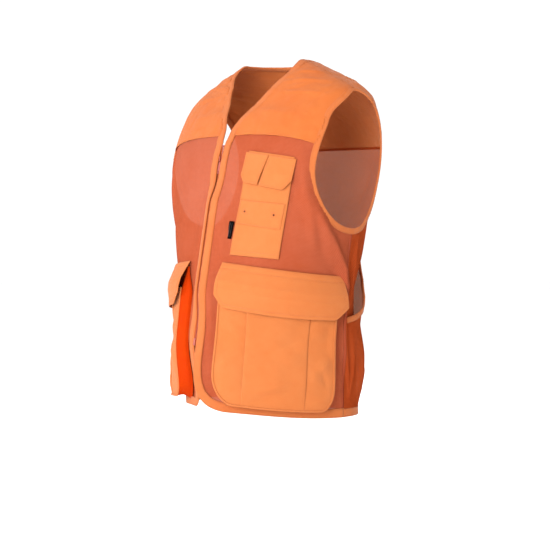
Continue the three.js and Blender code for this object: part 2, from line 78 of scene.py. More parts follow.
camera = bpy.data.objects.new("camera", bpy.data.cameras.new("camera"))
bpy.context.scene.collection.objects.link(camera)
bpy.context.scene.camera = camera
camera.data.lens = 89.5
camera.data.sensor_width = 36
backwards = Vector((
    math.sin(CAMERA_TURN) * math.cos(CAMERA_RISE),
    -math.cos(CAMERA_TURN) * math.cos(CAMERA_RISE),
    math.sin(CAMERA_RISE),
))
camera.location = CAMERA_OVER + CAMERA_AWAY * backwards
camera.rotation_euler = (CAMERA_SIGHT - camera.location).to_track_quat("-Z", "Y").to_euler()

# ---- sizes and outlines, mostly as in the CAD part ----
# Many numbers in these lists came from a separate fitting script and were then rounded or adjusted. They are
# not worked out from driving sizes.
# One row a ring, hem first: half width, front depth, back depth, then the heights of the side, front and
# back, and how round the front is.
RINGS = np.array([
    [184, 217, 108, 8, 24, 0, 1.4],
    [184, 203, 104, 84, 100.2, 80, 1.53],
    [184, 189, 94, 162, 176.4, 160, 1.65],
    [188, 175, 86, 240, 252.6, 240, 2.05],
    [200, 161, 98, 320, 328.8, 320, 2.45],
    [216, 147, 130, 400, 405, 402, 2.45],
    [227, 133, 145, 478, 481.2, 484, 2.7],
    [228, 106, 134, 546, 543, 556, 2.37],
    [212, 80, 104, 594, 577, 608, 2.1],
    [148, 61, 80, 629, 604, 641, 2.25],
    [78, 43, 60, 660, 621, 662, 2.25],
])
BACK_ROUNDNESS = 2.25
TOP_LEVEL = len(RINGS) - 1
STEP_SCALE = np.array([3.2, 80])  # millimetres per degree and per level, near enough to space points by

BAND_WIDTH = 17
BINDING_WIDTH = 11
ZIPPER_HALF_GAP = 4.2
CLOSED_HALF_GAP = 2.4
RIDGE = 10  # how far the closed front stands up along the zipper
RIDGE_WIDTHS = {"left": 70, "right": 26}
RIDGE_RISES = (2.0, 2.9)  # the levels between which the ridge rises, and those between which it falls
RIDGE_FALLS = (4.8, 5.5)
SEAM_ANGLE = 90
HEM_CORNER = (26, 1.4)  # the rounded front corners of the hem, in degrees and levels
CORNER_POWER = 0.76  # a little squarer than a quarter round
RIGHT_HEM_CORNER = (11, 0.62)  # the right one hangs turned under, so less of its round shows
V_LEVEL = 6.4
YOKE_EDGE = [(-8, 6.56), (3.5, 6.56), (20, 6.55), (35, 6.47), (48, 6.33), (57, 6.2), (80, 5.85), (92, 5.7)]
BACK_YOKE_LEVEL = 6.2
NECKLINE = [
    (1.3, V_LEVEL), (2.4, 6.8), (5.6, 7.25), (11.5, 8.17), (20, 8.9),
    (31, 9.42), (54, 9.8), (76, 9.985), (89.8, 10),
]
BACK_NECKLINE = [(90.4, 10), (130, 9.95), (180, 9.8)]
ARMHOLE = [
    (92, 4.38), (78, 4.48), (67, 4.78), (58.3, 5.28), (55.2, 5.85), (58, 6.65), (65, 7.35),
    (90, 8.02), (110, 7.55), (120, 6.75), (122, 5.85), (117, 5.05), (106, 4.52),
]

CARGO_SIDES = (16, 82)
CARGO_LEVELS = (0.21, 2.85)
GUSSET_TOP = 3.35  # where the right pocket's spread wall runs out under its flap
CARGO_CORNERS = {"left": (13, 0.75), "right": (5, 0.45)}  # front lower corners, in degrees and levels
CARGO_BACK_CORNER = (6, 0.55)
CARGO_LIFT = (22, 13, 3)  # the face's stand-off at the bottom and the top, and its crown
CARGO_FLAP = [(14.5, 2.72), (19.5, 2.45), (80.5, 2.34), (87.5, 2.6), (86.5, 3.31), (13.6, 3.49)]
FLAP_LIFT = [(-1, 2.4), (0, 2.4), (0.2, 10.5), (0.42, 18.8), (0.6, 21.6), (1.2, 24)]
FLAP_THICKNESS = 1.6
HOOK_STRIP = (40, 60, 2.52, 2.74)
PLEATS = (33, 67)

CHEST_PANEL = [(17.5, 3.67), (45.4, 3.64), (43.8, 5.93), (18.9, 6.11)]
CHEST_FLAPS = {
    "front": [(17.6, 5.52), (19.6, 5.35), (27.6, 5.29), (30.6, 5.98), (17.9, 6.07)],
    "side": [(28.4, 5.28), (41, 5.19), (44.6, 5.4), (44.9, 5.88), (31.3, 5.975)],
}
CHEST_PATCH = [(19.4, 4.39), (43.4, 4.29), (43.4, 4.88), (18.9, 4.96)]
EYELETS = {"front": (22.6, 4.68), "side": (38.6, 4.62)}
LABEL_AT = (15.1, 4.25)
LABEL_SIZE = (11, 33)

MOUTH = [(91, 2.34), (107, 2.44), (122, 2.68), (131, 3.06), (137, 3.53), (141, 4.08)]
POUCH_LIFT = [
    (0, 2.4), (0.23, 2.4), (0.6, 9), (1, 14), (1.5, 14),
    (2.15, 11), (2.8, 21), (3.2, 21), (3.7, 14.5), (4.09, 3.5),
]
POUCH_LEVELS = (0.24, 4.09)
SETTLE = np.array([12, 28, 0])  # how far the hem of the right front lies from its even place at the zipper
SETTLE_HEIGHTS = (10, 165)  # where that starts to fade and where it ends, going up
SETTLE_WIDTHS = (20, 155)  # the same, going out from the middle

ON_MESH = 2.1  # lifts at which the chest pocket's layers lie
ON_PANEL = 3.9

# ---- the body surface ----


def unit(vectors):
    return vectors / np.linalg.norm(vectors, axis=-1, keepdims=True)


def through(rows, at):
    """A smooth curve through rows of numbers, at fractional row numbers."""
    rows = np.asarray(rows, float)
    last = len(rows) - 1
    t = np.clip(at, 0, last - 1e-9)
    i = np.floor(t).astype(int)
    s = (t - i)[..., None]
    padded = np.vstack([2 * rows[0] - rows[1], rows, 2 * rows[-1] - rows[-2]])
    before, b, c, after = (padded[i + k] for k in range(4))
    bend = 2 * before - 5 * b + 4 * c - after + s * (3 * (b - c) + after - before)
    return b + 0.5 * s * (c - before + s * bend)


def bare(a, l):
    a, l = np.broadcast_arrays(np.asarray(a, float), np.asarray(l, float))
    wide, front, back, side_z, front_z, back_z, roundness = np.moveaxis(through(RINGS, l), -1, 0)
    s, c = np.sin(np.radians(a)), np.cos(np.radians(a))
    power = np.where(c > 0, roundness, BACK_ROUNDNESS)
    q = (np.abs(s) ** power + np.abs(c) ** power) ** (-1 / power)
    z = side_z + (np.where(c > 0, front_z, back_z) - side_z) * c * c
    return np.stack([wide * s * q, -np.where(c > 0, front, back) * c * q, z], -1)


def slopes(a, l):
    """The directions across and up the surface, per degree and per level, and the direction out of it."""
    low, high = np.maximum(0, l - 0.01), np.minimum(TOP_LEVEL, l + 0.01)
    across = bare(a + 0.5, l) - bare(a - 0.5, l)
    up = (bare(a, high) - bare(a, low)) / (high - low)[..., None]
    return across, up, unit(np.cross(across, up))


def skin(a, l, lift=0.0):
    a, l, lift = np.broadcast_arrays(np.asarray(a, float), np.asarray(l, float), np.asarray(lift, float))
    return bare(a, l) + slopes(a, l)[2] * lift[..., None]


def angle_at(x, level):
    """The angle at which the surface is x millimetres from the middle plane, near the centre front."""
    return np.degrees(np.arcsin(x / through(RINGS, np.asarray(level, float))[..., 0]))


# Distances along the surface from the centre front and up from the hem, so that every cloth has a flat map.
BEFORE_FRONT = 20  # degrees of the table that lie before the centre front
ROWS_PER_LEVEL = 10
TABLE_ANGLES = np.arange(-BEFORE_FRONT, 381.0)
TABLE_LEVELS = np.linspace(0, TOP_LEVEL, TOP_LEVEL * ROWS_PER_LEVEL + 1)
table_points = bare(TABLE_ANGLES[:, None], TABLE_LEVELS)


def run_along(points, axis=0):
    """How far each point of a row is from the first, along the row."""
    lengths = np.linalg.norm(np.diff(points, axis=axis), axis=-1)
    start = np.zeros_like(lengths.take([0], axis))
    return np.concatenate([start, lengths.cumsum(axis)], axis)


distances_across = run_along(table_points)
distances_across = distances_across - distances_across[BEFORE_FRONT]
distances_up = run_along(table_points, 1)


def flat_map(a, l):
    """Where a point of the surface lies on the flat cloth, in millimetres."""
    x = np.clip(np.asarray(a, float) + BEFORE_FRONT, 0, len(TABLE_ANGLES) - 1.001)
    y = np.clip(np.asarray(l, float) * ROWS_PER_LEVEL, 0, len(TABLE_LEVELS) - 1.001)
    i, j = x.astype(int), y.astype(int)
    s, t = x - i, y - j

    def read(table):
        low = table[i, j] * (1 - s) + table[i + 1, j] * s
        high = table[i, j + 1] * (1 - s) + table[i + 1, j + 1] * s
        return low * (1 - t) + high * t

    return np.stack([read(distances_across), read(distances_up)], -1)


# ---- paths on the surface, as rows of (angle, level) ----


def smooth(points, steps=8, closed=False):
    points = np.asarray(points, float)
    if closed:
        n = len(points)
        wrapped = np.vstack([points[-2:], points, points[:3]])
        return through(wrapped, 2 + np.arange(n * steps) / steps)
    return through(points, np.arange(steps * (len(points) - 1) + 1) / steps)


def straight(start, end, steps):
    return np.linspace(start, end, steps + 1)


def spaced(path, gap, closed=False):
    """The path with its points one gap apart, along the surface."""
    path = np.asarray(path, float)
    if closed:
        path = np.vstack([path, path[:1]])
    run = run_along(bare(*path.T))
    count = max(2, int(round(run[-1] / gap)) + 1)
    at = np.linspace(0, run[-1], count)
    even = np.stack([np.interp(at, run, path[:, k]) for k in (0, 1)], -1)
    return even[:-1] if closed else even


def offset(path, distance, closed=False):
    """The path a distance to one side, measured on the surface."""
    path = np.asarray(path, float)
    if closed:
        before, after = np.roll(path, 1, 0), np.roll(path, -1, 0)
    else:
        before, after = np.vstack([path[:1], path[:-1]]), np.vstack([path[1:], path[-1:]])
    across, up, out = slopes(*path.T)
    step = after - before
    side = unit(np.cross(out, across * step[:, :1] + up * step[:, 1:])) * np.reshape(distance, (-1, 1))
    dot = lambda p, q: (p * q).sum(-1)
    aa, au, uu = dot(across, across), dot(across, up), dot(up, up)
    whole = aa * uu - au * au
    moved = [dot(across, side) * uu - dot(up, side) * au, dot(up, side) * aa - dot(across, side) * au]
    return path + np.stack(moved, -1) / whole[:, None]


def rounded(points, radius):
    """A line through points whose corners are rounded, the radius being in millimetres."""
    points = np.asarray(points, float)
    made = [points[0]]
    for before, corner, after in zip(points[:-2], points[1:-1], points[2:]):
        arms = [end - corner for end in (before, after)]
        arms = [arm * min(0.45, radius / np.linalg.norm(arm * STEP_SCALE)) for arm in arms]
        for t in np.linspace(0, 1, 6):
            made.append(corner + arms[0] * (1 - t) ** 2 + arms[1] * t ** 2)
    return np.array([*made, points[-1]])


def along(path, shares):
    path = np.asarray(path, float)
    run = run_along(path * STEP_SCALE)
    return np.stack([np.interp(np.asarray(shares) * run[-1], run, path[:, k]) for k in (0, 1)], -1)


def fill(bottom, top, left, right, u, v):
    """A grid of (angle, level) between four paths, at shares u across and v up."""
    b, t, l, r = along(bottom, u), along(top, u), along(left, v), along(right, v)
    u, v = u[None, :, None], v[:, None, None]
    corners = (l[0] * (1 - u) + r[0] * u) * (1 - v) + (l[-1] * (1 - u) + r[-1] * u) * v
    return b[None] * (1 - v) + t[None] * v + l[:, None] * (1 - u) + r[:, None] * u - corners


def inside(path, points):
    """Whether each point lies inside a closed path, both as (angle, level)."""
    path = np.asarray(path, float)
    x, y = points[..., 0], points[..., 1]
    within = np.zeros(x.shape, bool)
    for (x0, y0), (x1, y1) in zip(path, np.roll(path, -1, 0)):
        if y0 == y1:
            continue
        crosses = ((y0 > y) != (y1 > y)) & (x < (x1 - x0) * (y - y0) / (y1 - y0) + x0)
        within ^= crosses
    return within


def over_back(at):
    """The same places on the wearer's other side, counted on over the back."""
    return np.stack([360 - at[..., 0], at[..., 1]], -1)


# ---- how the cloth moves off the surface ----


BUMP_TABLE = 64
BUMP_START = (11.3, 7.9)  # where in the table the flat cloth's corner lies, clear of whole numbers


def bumps(uv, size, seed):
    """Smooth random heights from -1 to 1 over the flat cloth, where size is a bump's width and height."""
    table = np.random.default_rng(seed).uniform(-1, 1, (BUMP_TABLE, BUMP_TABLE))
    x, y = uv[..., 0] / size[0] + BUMP_START[0], uv[..., 1] / size[1] + BUMP_START[1]
    i, j = np.floor(x).astype(int), np.floor(y).astype(int)
    s, t = x - i, y - j
    s, t = s * s * (3 - 2 * s), t * t * (3 - 2 * t)
    at = lambda p, q: table[p % BUMP_TABLE, q % BUMP_TABLE]
    low = at(i, j) * (1 - s) + at(i + 1, j) * s
    high = at(i, j + 1) * (1 - s) + at(i + 1, j + 1) * s
    return low * (1 - t) + high * t


def slanted(uv, degrees):
    t = math.radians(degrees)
    u, v = uv[..., 0], uv[..., 1]
    return np.stack([u * math.cos(t) + v * math.sin(t), v * math.cos(t) - u * math.sin(t)], -1)


def ease(low, high, x):
    t = np.clip((x - low) / (high - low), 0, 1)
    return t * t * (3 - 2 * t)


# Drape folds: from (angle, level), to (angle, level), half width, height.
SIDE_FOLDS = [
    (50, 5.6, 66, 3.75, 11, 3.6),
    (57, 5.1, 80, 3.5, 9, 4.6),
    (63, 4.75, 92, 3.2, 8, 4.4),
    (72, 4.35, 98, 2.5, 9, 3.6),
    (84, 4.2, 96, 1.2, 9, 3.4),
    (46, 6.3, 54, 4.6, 12, 2.4),
    (88, 2.2, 99, 0.2, 10, 4),
    (103, 4.3, 99, 2.4, 9, 3.4),
    (112, 4.7, 128, 2.9, 12, 3),
    (9, 5.2, 12, 3.4, 10, 1.6),
    (8, 3.3, 11, 1.2, 9, 1.8),
]
BACK_FOLDS = [
    (140, 6, 160, 4.2, 16, 3.5),
    (172, 5.8, 168, 4.2, 14, 2.6),
    (196, 5.9, 205, 4.3, 15, 3),
    (222, 6, 206, 4.4, 14, 3),
    (186, 5.2, 184, 4.2, 12, 2),
]


def folds(a, l, rows):
    x, y = a * STEP_SCALE[0], l * STEP_SCALE[1]
    total = np.zeros(np.broadcast(x, y).shape)
    for a0, l0, a1, l1, width, height in rows:
        start = np.array([a0, l0]) * STEP_SCALE
        way = np.array([a1, l1]) * STEP_SCALE - start
        t = np.clip(((x - start[0]) * way[0] + (y - start[1]) * way[1]) / (way @ way), 0, 1)
        apart = (x - start[0] - t * way[0]) ** 2 + (y - start[1] - t * way[1]) ** 2
        total = total + height * np.sin(np.pi * t) * np.exp(-apart / width ** 2)
    return total


def drape(a, l):
    """How far the net stands from the surface. The two sides of the vest hang a little differently."""
    near = np.where(a > 180, 360 - a, a)
    lean = np.where(a > 180, 3.0, 0.0)
    uv = flat_map(a, l)
    ripple = 0.5 * bumps(slanted(uv, 25), (46, 100), 3) + 0.2 * bumps(slanted(uv, -20), (26, 44), 4)
    return ripple - 0.1 + 2.0 * folds(near + lean, l, SIDE_FOLDS) + folds(a, l, BACK_FOLDS)


def ridge_share(l):
    return ease(*RIDGE_RISES, l) * (1 - ease(*RIDGE_FALLS, l))


def ridge(a, l, side):
    """How far the closed front stands up along the zipper. It falls away faster on the wearer's right."""
    away = flat_map(a, l)[..., 0]
    return RIDGE * (1 - ease(2, RIDGE_WIDTHS[side], away)) * ridge_share(l)


def cargo_lift(a, l):
    bottom, top, crown = CARGO_LIFT
    side = np.clip(2 * (a - CARGO_SIDES[0]) / (CARGO_SIDES[1] - CARGO_SIDES[0]) - 1, -1, 1)
    share = np.clip((l - CARGO_LEVELS[0]) / (CARGO_LEVELS[1] - CARGO_LEVELS[0]), 0, 1)
    return bottom + (top - bottom) * share + crown * (1 - side * side)


def flap_seam(a):
    (back_a, back_l), (front_a, front_l) = CARGO_FLAP[-2:]
    return front_l + (a - front_a) * (back_l - front_l) / (back_a - front_a)


def flap_lift(a, l):
    return np.interp(flap_seam(a) - l, *np.array(FLAP_LIFT).T)


def chest_flap_lift(l):
    return ON_PANEL + 0.2 + 3 * (1 - ease(5.3, 5.9, l))


def pouch_lift(a, l):
    from_seam = np.minimum(a, 360 - a) - SEAM_ANGLE
    spread = ease(0, 30, from_seam) * (1 + 0.4 * ease(35, 80, from_seam))
    base = POUCH_LIFT[0][1]
    return base + (np.interp(l, *np.array(POUCH_LIFT).T) - base) * spread


def settled(points):
    """The wearer's lower right front hangs further back than the left one, and a little under it."""
    low = 1 - ease(*SETTLE_HEIGHTS, points[..., 2])
    near = 1 - ease(*SETTLE_WIDTHS, -points[..., 0])
    return points + (low * near)[..., None] * SETTLE


# ---- materials ----
HOLE_SHADE = 0.6  # the share of its colour that each hole keeps: the holes are darkened as painted shade
LIT = 2.4  # how much brighter than a white surface in plain white surroundings the key light makes things


def paint(red, green, blue):
    """The colour of a surface that looks like this sRGB colour in full light."""
    channels = np.array([red, green, blue]) / 255
    linear = np.where(channels > 0.04045, ((channels + 0.055) / 1.055) ** 2.4, channels / 12.92)
    return (*np.minimum(linear / LIT, 0.84), 1)


def node(tree, kind, inputs=None, **settings):
    made = tree.nodes.new(kind)
    for key, value in settings.items():
        setattr(made, key, value)
    for key, value in (inputs or {}).items():
        if isinstance(value, bpy.types.NodeSocket):
            tree.links.new(value, made.inputs[key])
        else:
            made.inputs[key].default_value = value
    return made


def math_node(tree, operation, *values, kind="ShaderNodeMath", output=0):
    return node(tree, kind, dict(enumerate(values)), operation=operation).outputs[output]


def vector_math(tree, operation, *values, output=0):
    return math_node(tree, operation, *values, kind="ShaderNodeVectorMath", output=output)


def ranged(tree, value, **ends):
    """A value carried from one range to another. The ends are given as From_Min and so on."""
    inputs = {name.replace("_", " "): end for name, end in ends.items()}
    return node(tree, "ShaderNodeMapRange", {"Value": value, **inputs}).outputs["Result"]


def add_bump(tree, bsdf, height, distance, strength):
    made = node(tree, "ShaderNodeBump", {"Height": height, "Distance": distance * MM, "Strength": strength})
    tree.links.new(made.outputs["Normal"], bsdf.inputs["Normal"])


def noise(tree, place, scale, detail=2, **more):
    inputs = {"Vector": place, "Scale": scale, "Detail": detail, **more}
    return node(tree, "ShaderNodeTexNoise", inputs).outputs["Fac"]


def start_material(name, roughness, sheen=0.0):
    material = bpy.data.materials.new(name)
    material.use_nodes = True
    tree = material.node_tree
    bsdf = tree.nodes["Principled BSDF"]
    bsdf.inputs["Roughness"].default_value = roughness
    bsdf.inputs["Specular IOR Level"].default_value = 0.25
    bsdf.inputs["Sheen Weight"].default_value = sheen
    bsdf.inputs["Sheen Roughness"].default_value = 0.5
    bsdf.inputs["Sheen Tint"].default_value = (1, 0.72, 0.55, 1)
    return material, tree, bsdf


def tinted(tree, colours, uv, sizes=(90, 14, 1.6)):
    """A colour that wanders between two near shades in broad patches, small ones and single threads."""
    broad, small, thread = (noise(tree, uv, 1000 / size) for size in sizes)
    mixed = math_node(tree, "MULTIPLY_ADD", broad, 0.5, math_node(tree, "MULTIPLY", small, 0.3))
    mixed = math_node(tree, "MULTIPLY_ADD", thread, 0.4, mixed)
    spread = ranged(tree, mixed, From_Min=0.42, From_Max=0.8)
    mix = node(tree, "ShaderNodeMix", {"Factor": spread}, data_type="RGBA")
    mix.inputs["A"].default_value, mix.inputs["B"].default_value = colours
    return mix.outputs["Result"]


def uv_of(tree):
    return node(tree, "ShaderNodeUVMap", uv_map="cloth").outputs["UV"]


def wave(tree, uv, pitch, direction="X"):
    """Soft stripes, pitch millimetres apart."""
    scale = (0.628 if direction == "DIAGONAL" else 0.314) * 1000 / pitch
    settings = {"Vector": uv, "Scale": scale, "Distortion": 0.6, "Detail": 1.0, "Detail Scale": 0.6}
    return node(tree, "ShaderNodeTexWave", settings, bands_direction=direction).outputs["Fac"]


def woven(name, bright, deep, roughness=0.8, sheen=0.1, pitch=0.9, rib=0.0, depth=0.12, shine=0.15):
    """Woven cloth: warp, weft and the diagonal of a twill in its bump, with soft creases."""
    material, tree, bsdf = start_material(name, roughness, sheen)
    bsdf.inputs["Specular IOR Level"].default_value = shine
    uv = uv_of(tree)
    tree.links.new(tinted(tree, (paint(*deep), paint(*bright)), uv), bsdf.inputs["Base Color"])
    weave = math_node(tree, "ADD", wave(tree, uv, pitch), wave(tree, uv, pitch, "Y"))
    weave = math_node(tree, "ADD", weave, wave(tree, uv, pitch * 1.6, "DIAGONAL"))
    if rib:
        weave = math_node(tree, "MULTIPLY_ADD", wave(tree, uv, rib), 2.0, weave)
    crease = noise(tree, uv, 55, 4, Roughness=0.6)
    add_bump(tree, bsdf, math_node(tree, "MULTIPLY_ADD", crease, 5.0, weave), depth, 0.8)
    gloss = ranged(tree, crease, To_Min=roughness - 0.08, To_Max=roughness + 0.1)
    tree.links.new(gloss, bsdf.inputs["Roughness"])
    return material


def netted(name, bright, deep, clearness, glow, pitch=2.6, hole=0.21, stretch=1.25):
    """Knitted netting: a honeycomb of part-open holes, with a rounded thread round each."""
    material, tree, bsdf = start_material(name, 0.95)
    bsdf.inputs["Specular IOR Level"].default_value = 0.0
    bsdf.inputs["Transmission Weight"].default_value = glow
    bsdf.inputs["IOR"].default_value = 1.0
    uv = uv_of(tree)
    colour = tinted(tree, (paint(*deep), paint(*bright)), uv, (70, 9, 1.3))
    root3 = math.sqrt(3)
    cell = (1000 / pitch, 1000 / pitch / root3 / stretch * 1.25, 1)
    places = vector_math(tree, "MULTIPLY", uv, cell)
    distances = []
    for shift in (0.0, 0.5):
        part = vector_math(tree, "FRACTION", vector_math(tree, "ADD", places, (shift, shift, 0)))
        centred = vector_math(tree, "SUBTRACT", part, (0.5, 0.5, 0))
        flat = vector_math(tree, "MULTIPLY", centred, (1, root3, 0))
        distances.append(vector_math(tree, "LENGTH", flat, output="Value"))
    distance = math_node(tree, "MINIMUM", *distances)
    solid = ranged(tree, distance, From_Min=hole - 0.03, From_Max=hole + 0.03)
    tree.links.new(ranged(tree, solid, To_Min=1 - clearness), bsdf.inputs["Alpha"])
    # Inside each hole the colour is darkened by HOLE_SHADE: painted shade of the depth behind the netting.
    light = {0: colour, "Scale": ranged(tree, solid, To_Min=HOLE_SHADE)}
    shaded = node(tree, "ShaderNodeVectorMath", light, operation="SCALE")
    tree.links.new(shaded.outputs[0], bsdf.inputs["Base Color"])
    add_bump(tree, bsdf, distance, 0.35, 0.7)
    return material


def plain(name, bright, deep, roughness, grain=0.4, depth=0.03):
    """Plastic or painted metal with a fine grain and small changes of colour and gloss."""
    material, tree, bsdf = start_material(name, roughness)
    bsdf.inputs["Specular IOR Level"].default_value = 0.5
    place = node(tree, "ShaderNodeTexCoord").outputs["Object"]
    colour = tinted(tree, (paint(*deep), paint(*bright)), place, (20, 3, grain))
    tree.links.new(colour, bsdf.inputs["Base Color"])
    speck = noise(tree, place, 1000 / grain)
    add_bump(tree, bsdf, speck, depth, 0.5)
    gloss = ranged(tree, speck, To_Min=roughness - 0.1, To_Max=roughness + 0.1)
    tree.links.new(gloss, bsdf.inputs["Roughness"])
    return material


materials = {
    "solid_twill": woven("solid_twill", (255, 150, 82), (254, 140, 70)),
    # The yokes' twill is a darker copy of the solid twill: painted shade that offsets the extra light on
    # their upward faces.
    "yoke_twill_painted_shade": woven("yoke_twill_painted_shade", (254, 139, 66), (251, 128, 55)),
    "mesh_netting": netted("mesh_netting", (232, 118, 82), (220, 102, 64), 0.15, 0.08),
    "shaded_netting": netted("shaded_netting", (238, 106, 54), (224, 90, 40), 0.2, 0.22),
    # The pocket walls' deep red-orange is painted shade, for walls that lie in shade between the pocket's
    # face and the net.
    "gusset_twill_painted_shade": woven("gusset_twill_painted_shade", (248, 78, 4), (238, 62, 2), sheen=0.0, shine=0.03),
    "net_seam": woven("net_seam", (214, 96, 58), (198, 80, 42)),
    "binding_tape": woven("binding_tape", (254, 146, 80), (250, 130, 64), pitch=0.7, rib=2.4, depth=0.1),
    "zipper_tape": woven("zipper_tape", (248, 120, 62), (236, 100, 46), pitch=0.6, rib=1.2),
    "zipper_teeth": plain("zipper_teeth", (226, 84, 48), (206, 66, 34), 0.38),
    "zipper_hardware": plain("zipper_hardware", (214, 70, 34), (186, 50, 22), 0.45),
    "eyelet_thread": woven("eyelet_thread", (252, 138, 74), (244, 118, 56), 0.55, 0.3, 0.5, 0.5),
    "hook_and_loop": plain("hook_and_loop", (250, 126, 66), (234, 104, 48), 0.92, 0.5, 0.5),
    "woven_label": woven("woven_label", (14, 10, 12), (4, 3, 4), 0.95, 0.0, 0.5, 0.5, shine=0.03),
    "label_thread": woven("label_thread", (150, 140, 140), (110, 104, 106), 0.8, 0.0, 0.5, 0.5),
}

# ---- meshes ----


def make(name, points, faces, slot, uv, side="left", body="shell", replaces=(), finish=None):
    """A piece from points in millimetres. The wearer's right is built as the left and mirrored here."""
    points = np.asarray(points, float).reshape(-1, 3)
    faces = [list(f) for f in faces]
    if side == "right":
        points = settled(points * (-1, 1, 1))
        faces = [f[::-1] for f in faces]
    points = points * MM
    mesh = bpy.data.meshes.new(name)
    mesh.from_pydata(points.tolist(), [], faces)
    layer = mesh.uv_layers.new(name="cloth")
    corners = np.zeros(len(mesh.loops), int)
    mesh.loops.foreach_get("vertex_index", corners)
    layer.data.foreach_set("uv", (np.asarray(uv, float).reshape(-1, 2)[corners] * MM).ravel())
    mesh.shade_smooth()
    mesh.materials.append(materials[finish or slot])
    piece = bpy.data.objects.new(name, mesh)
    bpy.context.scene.collection.objects.link(piece)
    if replaces:
        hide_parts(*replaces)
    if body:
        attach(piece, body)
    return piece


def quads(rows, columns, loop_rows=False, loop_columns=False, first=0):
    """Faces of a grid of points stored row by row."""
    j, i = np.mgrid[0:rows - (not loop_rows), 0:columns - (not loop_columns)]
    j, i = j.ravel(), i.ravel()
    up, right = (j + 1) % rows, (i + 1) % columns
    corners = [j * columns + i, j * columns + right, up * columns + right, up * columns + i]
    return (np.stack(corners, -1) + first).tolist()


def tube(rows, columns, closed=False):
    """Faces of a tube made of rings of points, with both ends covered unless it closes on itself."""
    faces = quads(rows, columns, loop_rows=closed, loop_columns=True)
    if not closed:
        faces += [list(range(columns))[::-1], [(rows - 1) * columns + i for i in range(columns)]]
    return faces


def kept(grid_faces, keep, count):
    """The kept faces, renumbered over the points that they use, and those points' old numbers."""
    faces = [f for f, k in zip(grid_faces, keep) if k]
    used = np.unique(np.array(faces))
    number = np.full(count, -1)
    number[used] = np.arange(len(used))
    return number[np.array(faces)].tolist(), used


def cut_sheet(name, grid, lift, keep, slot, **made):
    """One layer of cloth over a grid of (angle, level), without the faces whose middles aren't kept."""
    rows, columns = grid.shape[:2]
    middles = (grid[:-1, :-1] + grid[1:, :-1] + grid[:-1, 1:] + grid[1:, 1:]) / 4
    faces, used = kept(quads(rows, columns), keep(middles).ravel(), rows * columns)
    at = grid.reshape(-1, 2)[used]
    points = skin(at[:, 0], at[:, 1], lift(at[:, 0], at[:, 1]))
    return make(name, points, faces, slot, flat_map(at[:, 0], at[:, 1]), **made)


def thicken(piece, thickness):
    solidify = piece.modifiers.new("thickness", "SOLIDIFY")
    solidify.thickness = thickness * MM
    solidify.offset = 1
    return piece


def shares(count, length, rim=0.9):
    """Shares from 0 to 1 with a narrow first and last step, for a rounded edge."""
    edge = rim / length
    return np.array([0, edge * 0.35, *np.linspace(edge, 1 - edge, count), 1 - edge * 0.35, 1])


def slab(name, grid, lift, thickness, slot, **made):
    """A flat piece of cloth with rounded edges over a grid of (angle, level)."""
    rows, columns = grid.shape[:2]
    a, l = grid[..., 0], grid[..., 1]
    base = lift(a, l) if callable(lift) else np.full(a.shape, float(lift))
    full = np.full((rows, columns), 1.0)
    for k, share in ((1, 0.72), (0, 0.12)):
        ring = np.ones((rows, columns), bool)
        ring[k + 1:rows - k - 1, k + 1:columns - k - 1] = False
        full[ring] = np.minimum(full[ring], share)
    middle, half = base + thickness / 2, thickness / 2 * full
    outer, inner = skin(a, l, middle + half), skin(a, l, middle - half)
    count = rows * columns
    faces = quads(rows, columns)
    faces += [[i + count for i in f[::-1]] for f in quads(rows, columns)]
    index = np.arange(count).reshape(rows, columns)
    rim = np.concatenate([index[0], index[1:, -1], index[-1, -2::-1], index[-2:0:-1, 0]])
    faces += [[int(q), int(p), int(p) + count, int(q) + count] for p, q in zip(rim, np.roll(rim, -1))]
    uv = flat_map(a, l).reshape(-1, 2)
    points = np.concatenate([outer.reshape(-1, 3), inner.reshape(-1, 3)])
    return make(name, points, faces, slot, np.concatenate([uv, uv]), **made)


def swept(name, path, profile, slot, closed=False, base=0.0, pucker=0.25, seed=1, **made):
    """A strip along a path. profile is a closed loop of (distance beside the path, lift)."""
    profile = np.asarray(profile, float)
    run, around = run_along(bare(*path.T)), run_along(profile)
    lines, maps = [], []
    for k, (distance, lift) in enumerate(profile):
        line = offset(path, distance, closed)
        place = np.stack([run, np.full(len(run), distance)], -1)
        ripple = pucker * (bumps(place, (7, 9), seed) + 0.6 * bumps(place, (23, 30), seed + 1))
        height = base(line[:, 0], line[:, 1]) if callable(base) else base
        lines.append(skin(line[:, 0], line[:, 1], height + lift + ripple * np.sign(lift - 0.5)))
        maps.append(np.stack([np.full(len(run), around[k]), run], -1))
    points, uv = np.stack(lines, 1), np.stack(maps, 1)
    faces = tube(*points.shape[:2], closed)
    centre = points.mean(1)
    first = np.array(faces[0])
    flat = points.reshape(-1, 3)
    normal = np.cross(flat[first[1]] - flat[first[0]], flat[first[2]] - flat[first[0]])
    if normal @ (flat[first].mean(0) - (centre[0] + centre[1]) / 2) < 0:
        faces = [f[::-1] for f in faces]
    return make(name, points, faces, slot, uv, **made)


def fold_profile(width, low=-1.0, high=2.45):
    """A tape folded over an edge. The edge is at 0, and the tape's rim is width to one side of the path."""
    sign, w = (1, width) if width > 0 else (-1, -width)
    rows = [
        (w, 0.9), (w - 0.3, high - 0.6), (w - 1.3, high - 0.12), (w * 0.7, high), (w * 0.35, high + 0.1),
        (1.6, high - 0.1), (0.4, high - 0.6), (-0.15, 0.8), (0.3, low + 0.5), (1.6, low + 0.1),
        (w * 0.5, low), (w - 1.3, low + 0.1), (w - 0.3, low + 0.5),
    ]
    return [(sign * d, h) for d, h in rows]


# ---- stitches ----
stitch_sets = {}
STITCH = {"length": 2.5, "gap": 1.0, "radius": 0.26}


